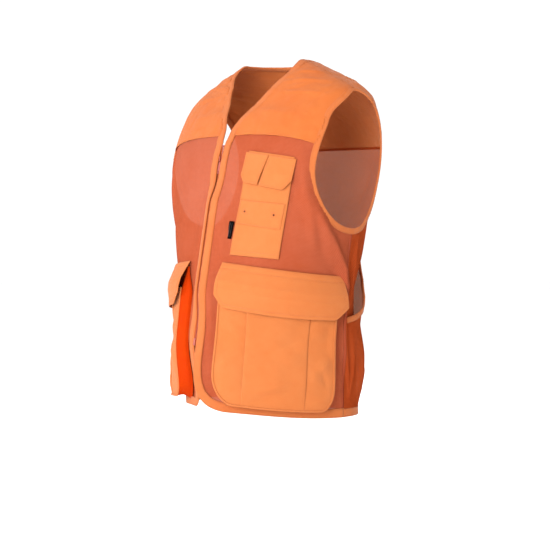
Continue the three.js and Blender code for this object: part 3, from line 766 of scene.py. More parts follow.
def capsules(starts, ends, radius, outs, sides=5):
    """Thin rounded rods between two lists of points."""
    ahead = unit(ends - starts)
    right = unit(np.cross(ahead, outs))
    up = np.cross(right, ahead)
    turns = np.arange(sides) * 2 * np.pi / sides
    ring = right[:, None] * np.cos(turns)[None, :, None] + up[:, None] * np.sin(turns)[None, :, None]
    rows = []
    for share, size in ((0.0, 0.4), (0.25, 1.0), (0.75, 1.0), (1.0, 0.4)):
        centre = starts * (1 - share) + ends * share
        rows.append(centre[:, None] + ring * radius * size)
    points = np.stack(rows, 1)
    count, levels = points.shape[:2]
    faces = [[i + k * levels * sides for i in f] for k in range(count) for f in tube(levels, sides)]
    return points.reshape(-1, 3), faces


def stitch(path, lift, group="shell", side="left", closed=False):
    """A row of stitches along a path, lying at a lift over the surface."""
    even = spaced(path, (STITCH["length"] + STITCH["gap"]) / 4, closed)
    last = len(even) - 3
    starts = even[0:last:4]
    ends = even[3::4][:len(starts)]
    starts = starts[:len(ends)]
    pairs = []
    for at in (starts, ends):
        height = lift(at[:, 0], at[:, 1]) if callable(lift) else lift
        pairs.append(skin(at[:, 0], at[:, 1], height))
    outs = slopes(*starts.T)[2]
    if side == "right":
        pairs = [settled(p * (-1, 1, 1)) for p in pairs]
        outs = outs * (-1, 1, 1)
    stitch_sets.setdefault(group, []).append((*pairs, outs))


SIDES = ("left", "right")


def seeds(side):
    """The first of the random seeds for one side's pieces."""
    return 10 if side == "left" else 40


def above(lift, height):
    """A lift raised by a height."""
    return lambda a, l: lift(a, l) + height


# ---- edges ----


def zipper_gap(level):
    """Half the gap between the bands: closed over the teeth, wider round the slider and the box."""
    ends = ease(5.3, 5.7, level) + 1 - ease(1.85, 2.1, level)
    return CLOSED_HALF_GAP + (ZIPPER_HALF_GAP - CLOSED_HALF_GAP) * ends


armhole = spaced(smooth(ARMHOLE, 10, closed=True), 4, closed=True)
neck_part = smooth(NECKLINE[::-1], 8)[:-1]


def band_path(corner_angle, corner_level):
    """From the shoulder down the neckline and the zipper, round the hem corner and along to the side seam."""
    down = straight((0, V_LEVEL), (0, corner_level), 40)
    down[:, 0] = angle_at(zipper_gap(down[:, 1]), down[:, 1])
    turn = np.linspace(0, np.pi / 2, 17)[1:]
    cos, sin = np.cos(turn).clip(0) ** CORNER_POWER, np.sin(turn) ** CORNER_POWER
    corner = np.stack([down[-1, 0] + corner_angle * (1 - cos), corner_level * (1 - sin)], -1)
    hem_part = straight((HEM_CORNER[0] + 4, 0), (SEAM_ANGLE - 0.05, 0), 30)
    return spaced(np.vstack([neck_part, down, corner, hem_part]), 4)


bands = {"left": band_path(*HEM_CORNER), "right": band_path(*RIGHT_HEM_CORNER)}
back_neck = smooth(BACK_NECKLINE, 10)
neck_edge = spaced(np.vstack([back_neck, over_back(back_neck)[::-1][1:]]), 4)
back_hem = spaced(straight((SEAM_ANGLE + 0.05, 0), (360 - SEAM_ANGLE - 0.05, 0), 60), 4)
mouth = smooth(MOUTH, 8)

arm_cut = offset(armhole, BINDING_WIDTH * 0.55, True)
band_cuts = {
    side: np.vstack([[(91, 10.2)], offset(bands[side], BAND_WIDTH * 0.55), [(91, 0.05)]]) for side in bands
}
neck_cut = np.vstack([offset(neck_edge, -BINDING_WIDTH * 0.55), [(271, 0)], [(89, 0)]])
hem_level = BAND_WIDTH * 0.55 / STEP_SCALE[1]


def front_kept(side):
    return lambda at: inside(band_cuts[side], at) & ~inside(arm_cut, at)


def clear_of(cut, at):
    return ~inside(cut, at) & ~inside(cut, over_back(at))


def back_kept(at):
    return clear_of(arm_cut, at) & inside(neck_cut, at) & (at[..., 1] > hem_level)


# ---- the net body and its yokes ----
yoke_line = smooth(YOKE_EDGE, 8)


def yoke_at(a):
    return np.interp(a, *yoke_line.T)


def rows_between(angles, low, high, count):
    """A grid whose rows run from one level to another, each a function of the angle."""
    v = np.linspace(0, 1, count)[:, None]
    a = np.broadcast_to(angles, (count, len(angles)))
    return np.stack([a, low(angles) * (1 - v) + high(angles) * v], -1)


def at_level(level):
    return lambda angles: np.full(angles.shape, float(level))


def net_drape(side, height=0.0):
    """The drape of a piece that is built on the wearer's left and mirrored when it belongs on the right."""
    return lambda a, l: drape(a if side == "left" else 360 - a, l) + height


YOKE_BASE = 0.9
YOKE_CLOTH = 0.9
NET_OVERLAP = 0.06  # how many levels the net runs up behind the yoke
TOP_EDGE = 9.99


def yoke_lift(seed):
    def lift(a, l):
        uv = flat_map(a, l)
        soft = 1.3 * bumps(slanted(uv, 35), (45, 26), seed)
        soft = soft + 0.7 * bumps(slanted(uv, -30), (20, 14), seed + 1)
        puckered = 0.4 * bumps(uv, (8, 60), seed + 2)
        near = np.where(a > 180, 360 - a, a)
        return YOKE_BASE + np.abs(soft) + puckered + folds(near, l, YOKE_FOLDS)

    return lift


YOKE_FOLDS = [
    (24, 8.6, 62, 7.9, 9, 1.6),
    (34, 9.2, 74, 8.5, 8, 1.8),
    (48, 9.6, 84, 9.0, 7, 1.6),
    (12, 7.6, 40, 7.1, 12, 1.2),
    (96, 9.1, 130, 8.3, 9, 1.8),
    (100, 8.5, 126, 7.4, 10, 1.6),
]

front_angles = np.linspace(1, SEAM_ANGLE, 100)
net_pieces = {}
for side in SIDES:
    net_grid = rows_between(front_angles, at_level(0), lambda a: yoke_at(a) + NET_OVERLAP, 136)
    net = cut_sheet(
        f"net_front_{side}", net_grid, lambda a, l: net_drape(side)(a, l) + ridge(a, l, side),
        front_kept(side), "mesh_netting", side=side, replaces=(f"front_mesh_{side}",),
    )
    yoke_grid = rows_between(front_angles, yoke_at, at_level(TOP_EDGE), 80)
    yoke = cut_sheet(
        f"yoke_front_{side}", yoke_grid, yoke_lift(seeds(side)), front_kept(side), "solid_twill",
        side=side, replaces=(f"front_yoke_{side}",), finish="yoke_twill_painted_shade",
    )
    thicken(yoke, YOKE_CLOTH)
    net_pieces[side] = (net, yoke)
    edge = yoke_line[(yoke_line[:, 0] > 2.2) & (yoke_line[:, 0] < 60)] + (0, 0.028)
    stitch(edge, YOKE_BASE + 1.5, side=side)

back_angles = np.linspace(SEAM_ANGLE, 360 - SEAM_ANGLE, 200)
back_grid = rows_between(back_angles, at_level(0), at_level(BACK_YOKE_LEVEL + NET_OVERLAP), 126)
back_net = cut_sheet(
    "net_back", back_grid, drape, back_kept, "mesh_netting", replaces=("back_mesh",), finish="shaded_netting",
)
back_yoke_grid = rows_between(back_angles, at_level(BACK_YOKE_LEVEL), at_level(TOP_EDGE), 84)
back_yoke = cut_sheet(
    "yoke_back", back_yoke_grid, yoke_lift(70), back_kept, "solid_twill", replaces=("back_yoke",),
    finish="yoke_twill_painted_shade",
)
thicken(back_yoke, YOKE_CLOTH)
stitch(straight((124, BACK_YOKE_LEVEL + 0.028), (236, BACK_YOKE_LEVEL + 0.028), 40), YOKE_BASE + 1.5)

# ---- bands, bindings and seams ----
TAPE_TOP = 2.55  # the height at which stitches lie on a folded tape
edges = {side: [] for side in SIDES}
for side in SIDES:
    seed = seeds(side)
    edges[side].append(swept(
        f"front_band_cloth_{side}", bands[side], fold_profile(BAND_WIDTH), "binding_tape",
        base=lambda a, l: ridge(a, l, side), seed=seed, side=side, replaces=(f"front_band_{side}",),
    ))
    edges[side].append(swept(
        f"armhole_tape_{side}", armhole, fold_profile(BINDING_WIDTH), "binding_tape",
        closed=True, seed=seed + 2, side=side, replaces=(f"armhole_binding_{side}",),
    ))
    for inset in (BAND_WIDTH - 1.7, 2.2):
        stitch(offset(bands[side], inset), lambda a, l: TAPE_TOP + ridge(a, l, side), side=side)
    stitch(offset(armhole, BINDING_WIDTH - 1.6, True), TAPE_TOP, side=side, closed=True)

neck_tape = swept(
    "neck_tape", neck_edge, fold_profile(-BINDING_WIDTH), "binding_tape", seed=5, replaces=("neck_binding",)
)
hem_tape = swept(
    "hem_tape", back_hem, fold_profile(BAND_WIDTH), "binding_tape", seed=6, replaces=("hem_binding",)
)
stitch(offset(neck_edge, -(BINDING_WIDTH - 1.6)), TAPE_TOP)
stitch(offset(back_hem, BAND_WIDTH - 1.7), TAPE_TOP)
stitch(offset(back_hem, 2.2), TAPE_TOP)

SEAM_PROFILE = [
    (-2.0, -0.4), (-1.8, 0.4), (-0.8, 0.8), (0, 0.5), (0.8, 0.8), (1.8, 0.4), (2.0, -0.4), (0, -0.7),
]
seams = {side: [] for side in SIDES}
for side in SIDES:
    seams[side].append(swept(
        f"side_seam_{side}", spaced(straight((90, 0.1), (90, 4.33), 60), 4), SEAM_PROFILE, "mesh_netting",
        base=net_drape(side, 0.3), pucker=0.35, seed=seeds(side) + 5, side=side, finish="net_seam",
    ))
    seams[side].append(swept(
        f"shoulder_seam_{side}", spaced(straight((90, 8.12), (90, 9.93), 40), 4), SEAM_PROFILE, "solid_twill",
        base=1.9, pucker=0.3, seed=seeds(side) + 6, side=side,
    ))
    stitch(straight((88, 8.1), (88, 9.9), 40), 3.1, side=side)

# ---- game pouch ----
pouch_angles = np.linspace(SEAM_ANGLE + 0.3, 360 - SEAM_ANGLE - 0.3, 200)
pouch_grid = rows_between(pouch_angles, at_level(POUCH_LEVELS[0] - 0.04), at_level(POUCH_LEVELS[1]), 96)
mouth_line = offset(np.vstack([[(88, 2.32)], mouth, [(143.5, 4.43)]]), -BINDING_WIDTH * 0.5)
mouth_cut = np.vstack([mouth_line, [(80, 4.6)], [(80, 2.3)]])
POUCH_FOLDS = [
    (96, 0.3, 104, 2.0, 9, 5),
    (108, 0.3, 121, 2.3, 11, 5),
    (128, 0.3, 134, 2.5, 13, 5),
    (150, 0.4, 146, 3.2, 15, 4),
    (176, 0.4, 171, 2.6, 16, 4),
    (264, 0.3, 254, 2.0, 9, 5),
    (250, 0.3, 238, 2.4, 12, 5),
    (222, 0.3, 214, 3.1, 14, 5),
    (199, 0.4, 193, 2.3, 15, 4),
]


def pouch_drape(a, l):
    uv = flat_map(a, l)
    near = ease(0, 8, np.minimum(a, 360 - a) - SEAM_ANGLE) * ease(0.25, 0.6, l)
    soft = 1.1 * bumps(slanted(uv, 15), (30, 70), 21) + 0.6 * bumps(slanted(uv, -25), (18, 30), 22)
    return pouch_lift(a, l) + near * (soft + 0.8 * folds(a, l, POUCH_FOLDS))


pouch = cut_sheet(
    "net_pouch", pouch_grid, pouch_drape, lambda at: clear_of(mouth_cut, at), "mesh_netting",
    replaces=("game_pouch",), finish="shaded_netting",
)
for side in SIDES:
    swept(
        f"pouch_mouth_tape_{side}", spaced(mouth, 4), fold_profile(-BINDING_WIDTH, -0.4), "binding_tape",
        base=pouch_lift, seed=seeds(side) + 8, side=side,
        replaces=(f"pouch_strap_{side}", f"pouch_binding_{side}"),
    )
    stitch(offset(mouth, -(BINDING_WIDTH - 1.6)), above(pouch_lift, TAPE_TOP), side=side)
    stitch(offset(mouth, -1.8), above(pouch_lift, 2.5), side=side)
pouch_top = swept(
    "pouch_top_seam", spaced(straight((143, POUCH_LEVELS[1]), (217, POUCH_LEVELS[1]), 40), 4),
    [(-2.4, 0), (-2, 1.3), (0, 1.7), (2, 1.3), (2.4, 0), (0, -0.6)], "binding_tape", base=pouch_lift, seed=31,
)

# ---- zipper ----
ZIP_LEVELS = (1.5, 6.3)
zip_top, zip_bottom = bare(0, ZIP_LEVELS[1]), bare(0, ZIP_LEVELS[0])
zip_length = float(np.linalg.norm(zip_top - zip_bottom))
zip_up = unit(zip_top - zip_bottom)
zip_out = np.array([0, -zip_up[2], zip_up[1]])


def on_zipper(x, out, up):
    """Points in the zipper's frame: across it, away from the wearer and up along it from its top."""
    x, out, up = np.broadcast_arrays(*(np.asarray(v, float) for v in (x, out, up)))
    level = ZIP_LEVELS[1] + (ZIP_LEVELS[1] - ZIP_LEVELS[0]) * up / zip_length
    out = out + RIDGE * ridge_share(level)
    return zip_top + np.stack([x, 0 * x, 0 * x], -1) + zip_out * out[..., None] + zip_up * up[..., None]


TOOTH = {"pitch": 1.5, "radius": 0.5, "reach": (-0.35, 2.2)}
zip_rows = np.arange(0, zip_length + 1, 4)
tape_profile = np.array([
    (1.9, 0.0), (2.0, 0.35), (5.0, 0.45), (8.5, 0.45), (8.6, 0.1), (8.5, -0.25), (5.0, -0.3), (2.0, -0.3),
])
for side in SIDES:
    x, out = tape_profile.T
    points = on_zipper(x[None], out[None], -zip_rows[:, None])
    faces = [f[::-1] for f in tube(*points.shape[:2])]
    uv = np.stack(np.broadcast_arrays(x[None], zip_rows[:, None]), -1)
    make(
        f"zip_tape_{side}", points, faces, "zipper_tape", uv,
        side=side, replaces=(f"zipper_tape_{side}",),
    )
    first = 4.6 if side == "left" else 4.6 + TOOTH["pitch"] / 2
    places = np.arange(first, zip_length - 14, TOOTH["pitch"])
    low, high = TOOTH["reach"]
    starts, ends = on_zipper(low, 0.45, -places), on_zipper(high, 0.3, -places)
    points, faces = capsules(starts, ends, TOOTH["radius"], np.tile(zip_out, (len(places), 1)), 6)
    make(
        f"zip_teeth_{side}", points, faces, "zipper_teeth", points[:, [0, 2]],
        side=side, replaces=(f"zipper_teeth_{side}",),
    )

HARDWARE = ("zipper_slider", "zipper_pull", "zipper_box", "zipper_stop_left", "zipper_stop_right")
for name in HARDWARE:
    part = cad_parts[name]
    part.data.materials.clear()
    part.data.materials.append(materials["zipper_hardware"])
    bevel = part.modifiers.new("soft_edges", "BEVEL")
    bevel.width = 0.22 * MM
    bevel.segments = 2

# ---- cargo pockets ----
CARGO_BOTTOM, CARGO_TOP = CARGO_LEVELS
corner_back, rise_back = CARGO_BACK_CORNER


def cargo_sides(l, side):
    """The pocket's front and back edges at each level, with its rounded lower corners."""
    corner_front, rise_front = CARGO_CORNERS[side]
    front = np.sqrt(1 - np.clip((CARGO_BOTTOM + rise_front - l) / rise_front, 0, 1) ** 2)
    back = np.sqrt(1 - np.clip((CARGO_BOTTOM + rise_back - l) / rise_back, 0, 1) ** 2)
    return CARGO_SIDES[0] + corner_front * (1 - front), CARGO_SIDES[1] - corner_back * (1 - back)


def cargo_outline(side, top=CARGO_TOP):
    """Down the pocket's front edge, along its bottom and up its back edge."""
    corner_front, rise_front = CARGO_CORNERS[side]
    turn = np.linspace(0, np.pi / 2, 9)
    cos, sin = 1 - np.cos(turn), 1 - np.sin(turn)
    return spaced(np.vstack([
        straight((CARGO_SIDES[0], top), (CARGO_SIDES[0], CARGO_BOTTOM + rise_front), 20)[:-1],
        np.stack([CARGO_SIDES[0] + corner_front * cos, CARGO_BOTTOM + rise_front * sin], -1),
        np.stack([CARGO_SIDES[1] - corner_back * sin, CARGO_BOTTOM + rise_back * cos], -1),
        straight((CARGO_SIDES[1], CARGO_BOTTOM + rise_back), (CARGO_SIDES[1], CARGO_TOP), 20)[1:],
    ]), 4)


# A box pleat's edge, from the side panel in under the middle one and out again, as (millimetres towards the
# middle, lift).
PLEAT = np.array([
    (-26, 0.2), (-18, 0), (-11, -0.5), (-6, -1.2), (-2, -2.0), (2, -2.6), (5, -2.8), (7, -2.7), (7.6, -2.3),
    (7, -1.9), (4.5, -1.75), (2, -1.6), (0.2, -1.35), (-0.5, -0.8), (-0.3, -0.25), (0.6, 0.1), (2.5, 0.4),
    (6, 0.5), (12, 0.3), (20, 0.1),
])
FACE_CLOTH = 0.55
PER_DEGREE = 3.25  # millimetres across the pocket for each degree


def cargo_face(side):
    """The pocket's front: side panels tucked under a middle panel by a pleat at each side."""
    seed = seeds(side)
    levels = CARGO_BOTTOM + (CARGO_TOP - CARGO_BOTTOM) * np.linspace(0, 1, 84) ** 1.25
    front, back = (edge[:, None] for edge in cargo_sides(levels, side))
    pleats = [PLEAT, PLEAT[::-1] * (-1, 1)]
    first, second = (at + pleat[:, 0] / PER_DEGREE for at, pleat in zip(PLEATS, pleats))
    share = np.linspace(0, 1, 12)[:-1]
    middle = np.linspace(first[-1], second[0], 12)[1:-1]
    fade = 0.35 + 0.65 * ease(0.25, 0.9, levels)[:, None]
    each = np.ones((len(levels), 1))
    left = front + (first[0] - front) * share
    right = second[-1] + (back - second[-1]) * (1 - share[::-1])
    a = np.hstack([left, each * first, each * middle, each * second, right])
    tucks = [fade * pleat[:, 1] for pleat in pleats]
    extra = np.hstack([0 * left, tucks[0], 0 * each * middle, tucks[1], 0 * right])
    l = np.broadcast_to(levels[:, None], a.shape)
    uv = flat_map(a, l)
    drawn = ease(0, 5, a - front) * ease(0, 5, back - a) * ease(0.2, 0.5, l)
    soft = 1.9 * bumps(slanted(uv, 30), (46, 24), seed) + 1.0 * bumps(slanted(uv, -35), (26, 16), seed + 1)
    sag = 2.4 * np.exp(-((l - 0.85) / 0.45) ** 2) - 1.6 * np.exp(-((l - 1.7) / 0.6) ** 2)
    slack = 2.2 * folds(a, l, CARGO_FOLDS)
    lift = cargo_lift(a, l) + extra + drawn * (soft + sag + slack)
    points = skin(a, l, lift)
    widths = run_along(points, 1)
    centre = widths[:, [a.shape[1] // 2]]
    heights = run_along(points).mean(1)[:, None]
    flat = np.stack([widths - centre, np.broadcast_to(heights, a.shape)], -1)
    piece = make(
        f"cargo_front_{side}", points, quads(*a.shape), "solid_twill", flat,
        side=side, replaces=(f"cargo_pocket_{side}",),
    )
    return thicken(piece, FACE_CLOTH)


CARGO_FOLDS = [
    (70, 0.9, 79, 1.5, 8, 1.8),
    (19, 1.0, 30, 1.6, 9, 1.6),
    (40, 0.6, 60, 0.85, 10, 1.4),
    (22, 2.2, 31, 1.7, 9, 1.2),
    (70, 1.4, 80, 0.7, 7, -1.6),
]


# A wall's lines from its rim to the net: how far inside the pocket's edge, its share of the pocket's depth,
# and how far inside it lies where the wall is spread.
WALL = [
    (0, 1.0, 0), (2.6, 0.86, -5), (5.6, 0.68, -11), (7.2, 0.52, -16),
    (5.6, 0.36, -20), (2.8, 0.18, -22), (0.4, 0.0, -22), (-3.0, 0.0, -24),
]
WALL_FOOT = 1.6  # the lift of the wall's line on the net
LOWEST = 0.06  # no line of the wall lies under this level
PATH_GAP = 4.0


def gusset(side):
    """The pocket's wall. The left one folds inwards like a bellows. The right one spreads along its front."""
    cargo_edge = cargo_outline(side, GUSSET_TOP if side == "right" else CARGO_TOP)
    run = np.linspace(0, 1, len(cargo_edge))
    taper = 1 - ease(CARGO_TOP - 0.2, GUSSET_TOP, cargo_edge[:, 1])
    front = (1 - ease(0.3, 0.42, run)) if side == "right" else 0 * run
    lines = []
    for distance, share, wide in WALL:
        line = offset(cargo_edge, (distance + (wide - distance) * front) * (0.25 + 0.75 * taper))
        line[:, 1] = np.maximum(line[:, 1], LOWEST)
        depth = (cargo_lift(*line.T) + 0.3 - WALL_FOOT) * (0.15 + 0.85 * taper)
        place = np.stack([np.arange(len(line)) * PATH_GAP, np.full(len(line), share * 20)], -1)
        ripple = 0.7 * bumps(place, (26, 9), seeds(side) + 3) * share * (1 - share) * 4
        lines.append(skin(*line.T, WALL_FOOT + depth * share + ripple))
    points = np.stack(lines, 1)
    rows, columns = points.shape[:2]
    steps = np.linalg.norm(np.diff(points, axis=1), axis=-1).mean(0).cumsum()
    across, down = np.concatenate([[0], steps])[None], np.arange(rows)[:, None] * PATH_GAP
    uv = np.stack(np.broadcast_arrays(across, down), -1)
    # The wall's deep red-orange finish is painted shade.
    piece = make(
        f"cargo_wall_{side}", points, quads(rows, columns), "solid_twill", uv,
        side=side, replaces=(f"cargo_gusset_{side}",), finish="gusset_twill_painted_shade",
    )
    return thicken(piece, 0.5)


def flap_grid(corners, columns, rows, radius=5):
    """A grid over a flap: its lower corners first, then the back and front ends of its seam."""
    corners = np.array(corners, float)
    bottom = rounded(corners[:-2], radius)
    size = np.array([(corners[-2] - corners[-1]) * STEP_SCALE, (corners[0] - corners[-1]) * STEP_SCALE])
    width, height = np.linalg.norm(size, axis=1)
    left = straight(corners[0], corners[-1], 8)
    right = straight(corners[-3], corners[-2], 8)
    top = straight(corners[-1], corners[-2], 16)
    return fill(bottom, top, left, right, shares(columns, width), shares(rows, height))


def flap_lines(grid, inset):
    """A stitching line a distance inside a flap's two sides and its lower edge."""
    ring = np.vstack([grid[::-1, 0], grid[0, 1:], grid[1:, -1]])
    return offset(spaced(ring, 2.5), inset)


def hinge_span(grid, lift, reach, side="left"):
    """A span from a flap's seam down towards its lower edge, reach millimetres long."""
    sign = np.array([-1, 1, 1]) if side == "right" else np.array([1, 1, 1])
    seam, low = (skin(*row.T, lift(*row.T)) * sign * MM for row in (grid[-1], grid[0]))
    axis = unit(seam[-1] - seam[0])
    way = low.mean(0) - seam.mean(0)
    way = unit(way - axis * (way @ axis))
    start = seam.mean(0) + way * ((seam - seam.mean(0)) @ way).max()
    return start, start + way * reach * MM


CARGO_BEND = 16  # how far from its seam each flap's span reaches
CHEST_BEND = 8
cargo_parts = {}
for side in SIDES:
    seed = seeds(side)
    face, wall = cargo_face(side), gusset(side)
    cargo_edge = cargo_outline(side)
    rim = swept(
        f"cargo_rim_{side}", cargo_edge,
        [(-0.9, -0.3), (-1.0, 0.7), (-0.5, 1.4), (0.6, 1.7), (2.4, 1.5), (3.0, 0.9), (2.6, 0.2), (0.8, -0.5)],
        "solid_twill", base=cargo_lift, pucker=0.3, seed=seed + 4, side=side,
    )
    stitch(offset(cargo_edge, 2.0), above(cargo_lift, 1.75), side=side)
    stitch(offset(cargo_edge, -1.6), 2.4, side=side)

    def flap_drape(a, l):
        uv = flat_map(a, l)
        free = ease(0.05, 0.7, flap_seam(a) - l)
        soft = 1.1 * bumps(slanted(uv, 70), (34, 60), seed + 5) + 0.4 * bumps(uv, (18, 22), seed + 6)
        seam_tuck = -0.8 * np.exp(-(((flap_seam(a) - l) * 80 - 10.5) / 1.6) ** 2)
        return flap_lift(a, l) + free * soft + seam_tuck

    grid = flap_grid(CARGO_FLAP, 90, 44)
    flap = slab(
        f"cargo_flap_cloth_{side}", grid, flap_drape, FLAP_THICKNESS, "solid_twill",
        side=side, body=None, replaces=(f"cargo_flap_{side}",),
    )
    group = f"cargo_flap_{side}"
    top_line = straight(CARGO_FLAP[-1], CARGO_FLAP[-2], 60)[1:-1]
    over_flap = above(flap_drape, FLAP_THICKNESS + 0.1)
    for drop in (0.022, 0.135):
        stitch(top_line - (0, drop), over_flap, group, side)
    stitch(flap_lines(grid, 6.5)[6:-6], over_flap, group, side)

    hook_grid = np.stack(np.meshgrid(np.linspace(*HOOK_STRIP[:2], 24), np.linspace(*HOOK_STRIP[2:], 8)), -1)
    hook = slab(
        f"hook_tape_{side}", hook_grid, above(flap_drape, -1.0), 0.9, "hook_and_loop",
        side=side, body=None, replaces=(f"cargo_hook_{side}",),
    )
    loop = slab(
        f"loop_tape_{side}", hook_grid, above(cargo_lift, 0.9), 1.0, "hook_and_loop",
        side=side, replaces=(f"cargo_loop_{side}",),
    )
    span = hinge_span(grid, flap_lift, CARGO_BEND, side)
    for piece in (flap, hook):
        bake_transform(piece)
    cargo_parts[side] = (face, wall, rim, flap, hook, loop)

# ---- chest pocket ----


def chest_lift(base, seed):
    def lift(a, l):
        uv = flat_map(a, l)
        broad = 0.45 * np.abs(bumps(slanted(uv, 80), (20, 44), seed))
        return base + broad + 0.2 * bumps(uv, (9, 12), seed + 1)

    return lift


panel_lift, patch_lift = chest_lift(ON_MESH - 0.3, 51), chest_lift(ON_PANEL - 0.7, 53)
panel_grid, patch_grid = flap_grid(CHEST_PANEL, 40, 70, 1), flap_grid(CHEST_PATCH, 36, 20, 1)
panel = slab("chest_pocket_cloth", panel_grid, panel_lift, 1.6, "solid_twill", replaces=("chest_panel",))
patch = slab("chest_patch_cloth", patch_grid, patch_lift, 1.7, "solid_twill", replaces=("chest_patch",))
stitch(flap_lines(panel_grid, 2.0), above(panel_lift, 1.7))
hem_row = straight(CHEST_PANEL[0], CHEST_PANEL[1], 30)[1:-1] + (0, 0.1)
stitch(hem_row, above(panel_lift, 1.7))
patch_ring = np.vstack([patch_grid[::-1, 0], patch_grid[0, 1:], patch_grid[1:, -1], patch_grid[-1, -2:0:-1]])
stitch(offset(spaced(patch_ring, 2.5), 1.8), above(patch_lift, 1.8))

chest_flap_pieces = []
for name, corners in CHEST_FLAPS.items():
    seed = 55 if name == "front" else 57

    def small_flap_lift(a, l):
        uv = flat_map(a, l)
        free = 1 - ease(5.45, 5.95, l)
        return chest_flap_lift(l) + free * (0.9 * bumps(slanted(uv, 75), (14, 30), seed) + 0.4)

    grid = flap_grid(corners, 30, 30, 4)
    small = slab(
        f"chest_flap_cloth_{name}", grid, small_flap_lift, 1.4, "solid_twill", body=None,
        replaces=(f"chest_flap_{name}",),
    )
    group = f"chest_flap_{name}"
    over_small = above(small_flap_lift, 1.5)
    stitch(flap_lines(grid, 3.0)[3:-3], over_small, group)
    stitch(straight(corners[-1], corners[-2], 20)[1:-1] - (0, 0.025), over_small, group)
    span = hinge_span(grid, lambda a, l: chest_flap_lift(l), CHEST_BEND)
    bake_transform(small)
    chest_flap_pieces.append(small)

# Eyelets: a worked ring of thread round its hole, in a box of stitches. The hole is a black disc of painted
# shade.
EYELET_RING = (1.9, 0.6)  # its radius, and its thread's
EYELET_STEPS = (32, 10)  # round the ring and round its thread
EYELET_SHADE_DISC = [(0.7, 0.25), (1.3, 0.3), (1.6, 0.3)]  # the rings of the hole's disc of painted shade, as (radius, height)
BOX_HALF = 4.6
for name, (a0, l0) in EYELETS.items():
    across, up, out = (v[0] for v in slopes(np.array([a0]), np.array([l0])))
    x_axis = unit(across)
    y_axis = np.cross(out, x_axis)
    centre = skin(a0, l0, patch_lift(np.array([a0]), np.array([l0]))[0] + 1.75)
    around, about = (np.linspace(0, 2 * np.pi, count, False) for count in EYELET_STEPS)
    thread = EYELET_RING[1] * (1 + 0.12 * np.cos(around * 12)[:, None])
    radius, height = EYELET_RING[0] + thread * np.cos(about), thread * np.sin(about)
    spokes = x_axis * np.cos(around)[:, None] + y_axis * np.sin(around)[:, None]
    ring = centre + spokes[:, None] * radius[..., None] + out * height[..., None]
    uv = np.stack(np.broadcast_arrays(around[:, None] * 1.5, about[None] * 0.6), -1)
    make(
        f"eyelet_ring_{name}", ring, quads(*EYELET_STEPS, True, True), "eyelet_thread", uv,
        replaces=(f"eyelet_{name}",),
    )
    steps = len(around)
    dish = [centre + spokes * r + out * h for r, h in EYELET_SHADE_DISC]
    points = np.vstack([[centre + out * EYELET_SHADE_DISC[0][1]], *dish])
    faces = [[0, 1 + i, 1 + (i + 1) % steps] for i in range(steps)]
    faces += quads(len(dish), steps, loop_columns=True, first=1)
    # The disc takes the label's black cloth, as painted shade.
    make(
        f"eyelet_hole_shade_{name}", points, faces, "eyelet_thread", points[:, [0, 2]], finish="woven_label",
    )
    corner = np.array([BOX_HALF / PER_DEGREE, BOX_HALF / STEP_SCALE[1]])
    box = [(a0, l0) + corner * turn for turn in ((-1, -1), (1, -1), (1, 1), (-1, 1))]
    for start, end in zip(box, box[1:] + box[:1]):
        stitch(straight(start, end, 6), above(patch_lift, 1.8))

# A woven label folded into the pocket's front seam, with plain woven bars and no words.
half = np.array(LABEL_SIZE) / 2 / (PER_DEGREE * 0.95, STEP_SCALE[1])
TURNS = ((-1, -1), (1, -1), (1, 1), (-1, 1))  # the corners of a box, in order round it
LABEL_LEAN = ((0, 0), (0, -0.01), (0.35, -0.01), (0.35, 0))
label_corners = [LABEL_AT + half * turn + lean for turn, lean in zip(TURNS, LABEL_LEAN)]


def label_lift(a, l):
    return ON_MESH + 0.3 + 0.5 * np.sin((a - LABEL_AT[0]) * 0.7) + 0.3 * np.sin((l - LABEL_AT[1]) * 14)


label_grid = flap_grid(label_corners, 14, 30, 1)
label = slab("woven_tab", label_grid, label_lift, 0.9, "woven_label", replaces=("label",))
for k, (u0, u1) in enumerate(((0.24, 0.29), (0.38, 0.41), (0.68, 0.71))):
    rows = label_grid[4:-4]
    bar = rows[:, [0, 0]] + (rows[:, [-1, -1]] - rows[:, [0, 0]]) * np.array([u0, u1])[None, :, None]
    slab(
        f"woven_bar_{k}", np.concatenate([bar[:, [0]], bar.mean(1, keepdims=True), bar[:, [1]]], 1),
        above(label_lift, 0.85), 0.14, "woven_label", finish="label_thread",
    )

# ---- the stitches, one piece for each group ----
for group, rows in stitch_sets.items():
    starts, ends, outs = (np.concatenate([row[k] for row in rows]) for k in range(3))
    points, faces = capsules(starts, ends, STITCH["radius"], outs)
    piece = make(
        f"stitches_{group}", points, faces, "binding_tape", points[:, [0, 2]],
        body="shell" if group == "shell" else None, finish="eyelet_thread",
    )
    if group != "shell":
        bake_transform(piece)

# ---- each sheet's cut size ----


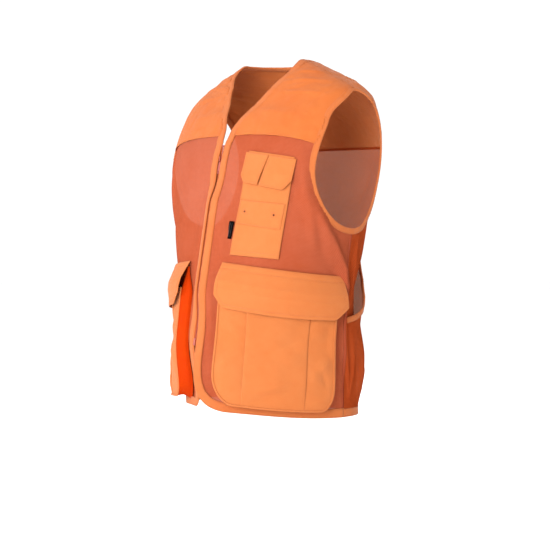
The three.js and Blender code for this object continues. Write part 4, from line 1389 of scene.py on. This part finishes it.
def flat_size(piece):
    """The cut size of a piece, from its flat map: its width, its length and its area, in metres."""
    mesh = piece.data
    uv = np.zeros(len(mesh.loops) * 2)
    mesh.uv_layers["cloth"].data.foreach_get("uv", uv)
    uv = uv.reshape(-1, 2)
    area = 0.0
    for face in mesh.polygons:
        x, y = uv[list(face.loop_indices)].T
        area += abs(x @ np.roll(y, -1) - y @ np.roll(x, -1)) / 2
    width, length = uv.max(0) - uv.min(0)
    return width, length, area


def declare(piece):
    width, length, area = flat_size(piece)
    width, length = round(width, 4), round(length, 4)


for side in SIDES:
    net, yoke = net_pieces[side]
    declare(net)
    declare(yoke)
    face, wall, rim, flap, hook, loop = cargo_parts[side]
    declare(face)
    declare(wall)
    declare(flap)
declare(back_net)
declare(back_yoke)
declare(pouch)
declare(panel)
declare(patch)
for small in chest_flap_pieces:
    declare(small)

# ---- stage and light ----
FLOOR_LEVEL = -0.25
FLOOR_HALF = 9.0
floor_mesh = bpy.data.meshes.new("floor")
floor_corners = [(x * FLOOR_HALF, y * FLOOR_HALF, FLOOR_LEVEL) for x, y in TURNS]
floor_mesh.from_pydata(floor_corners, [], [(0, 1, 2, 3)])
floor = bpy.data.objects.new("floor", floor_mesh)
bpy.context.scene.collection.objects.link(floor)
floor_material, _, floor_shader = start_material("floor", 0.9)
floor_shader.inputs["Base Color"].default_value = (0.95, 0.95, 0.95, 1)
floor_mesh.materials.append(floor_material)
floor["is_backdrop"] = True

world = bpy.data.worlds.new("studio")
world.use_nodes = True
world.node_tree.nodes["Background"].inputs["Color"].default_value = (1, 1, 1, 1)
world.node_tree.nodes["Background"].inputs["Strength"].default_value = 1.07
bpy.context.scene.world = world


LAMP_SIGHT = Vector((0, 0, 0.35))


def softbox(name, place, size, watts):
    lamp = bpy.data.lights.new(name, "AREA")
    lamp.shape = "RECTANGLE"
    lamp.size, lamp.size_y = size
    lamp.energy = watts
    made = bpy.data.objects.new(name, lamp)
    bpy.context.scene.collection.objects.link(made)
    made.location = place
    made.rotation_euler = (LAMP_SIGHT - made.location).to_track_quat("-Z", "Y").to_euler()


softbox("key", (1.35, -2.85, 0.95), (1.8, 1.5), 128)
softbox("fill", (-1.9, -2.3, 0.8), (1.6, 1.5), 46)
softbox("back", (-1.2, 3.0, 1.3), (1.8, 1.6), 60)

bpy.context.scene.view_settings.view_transform = "Standard"

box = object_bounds()
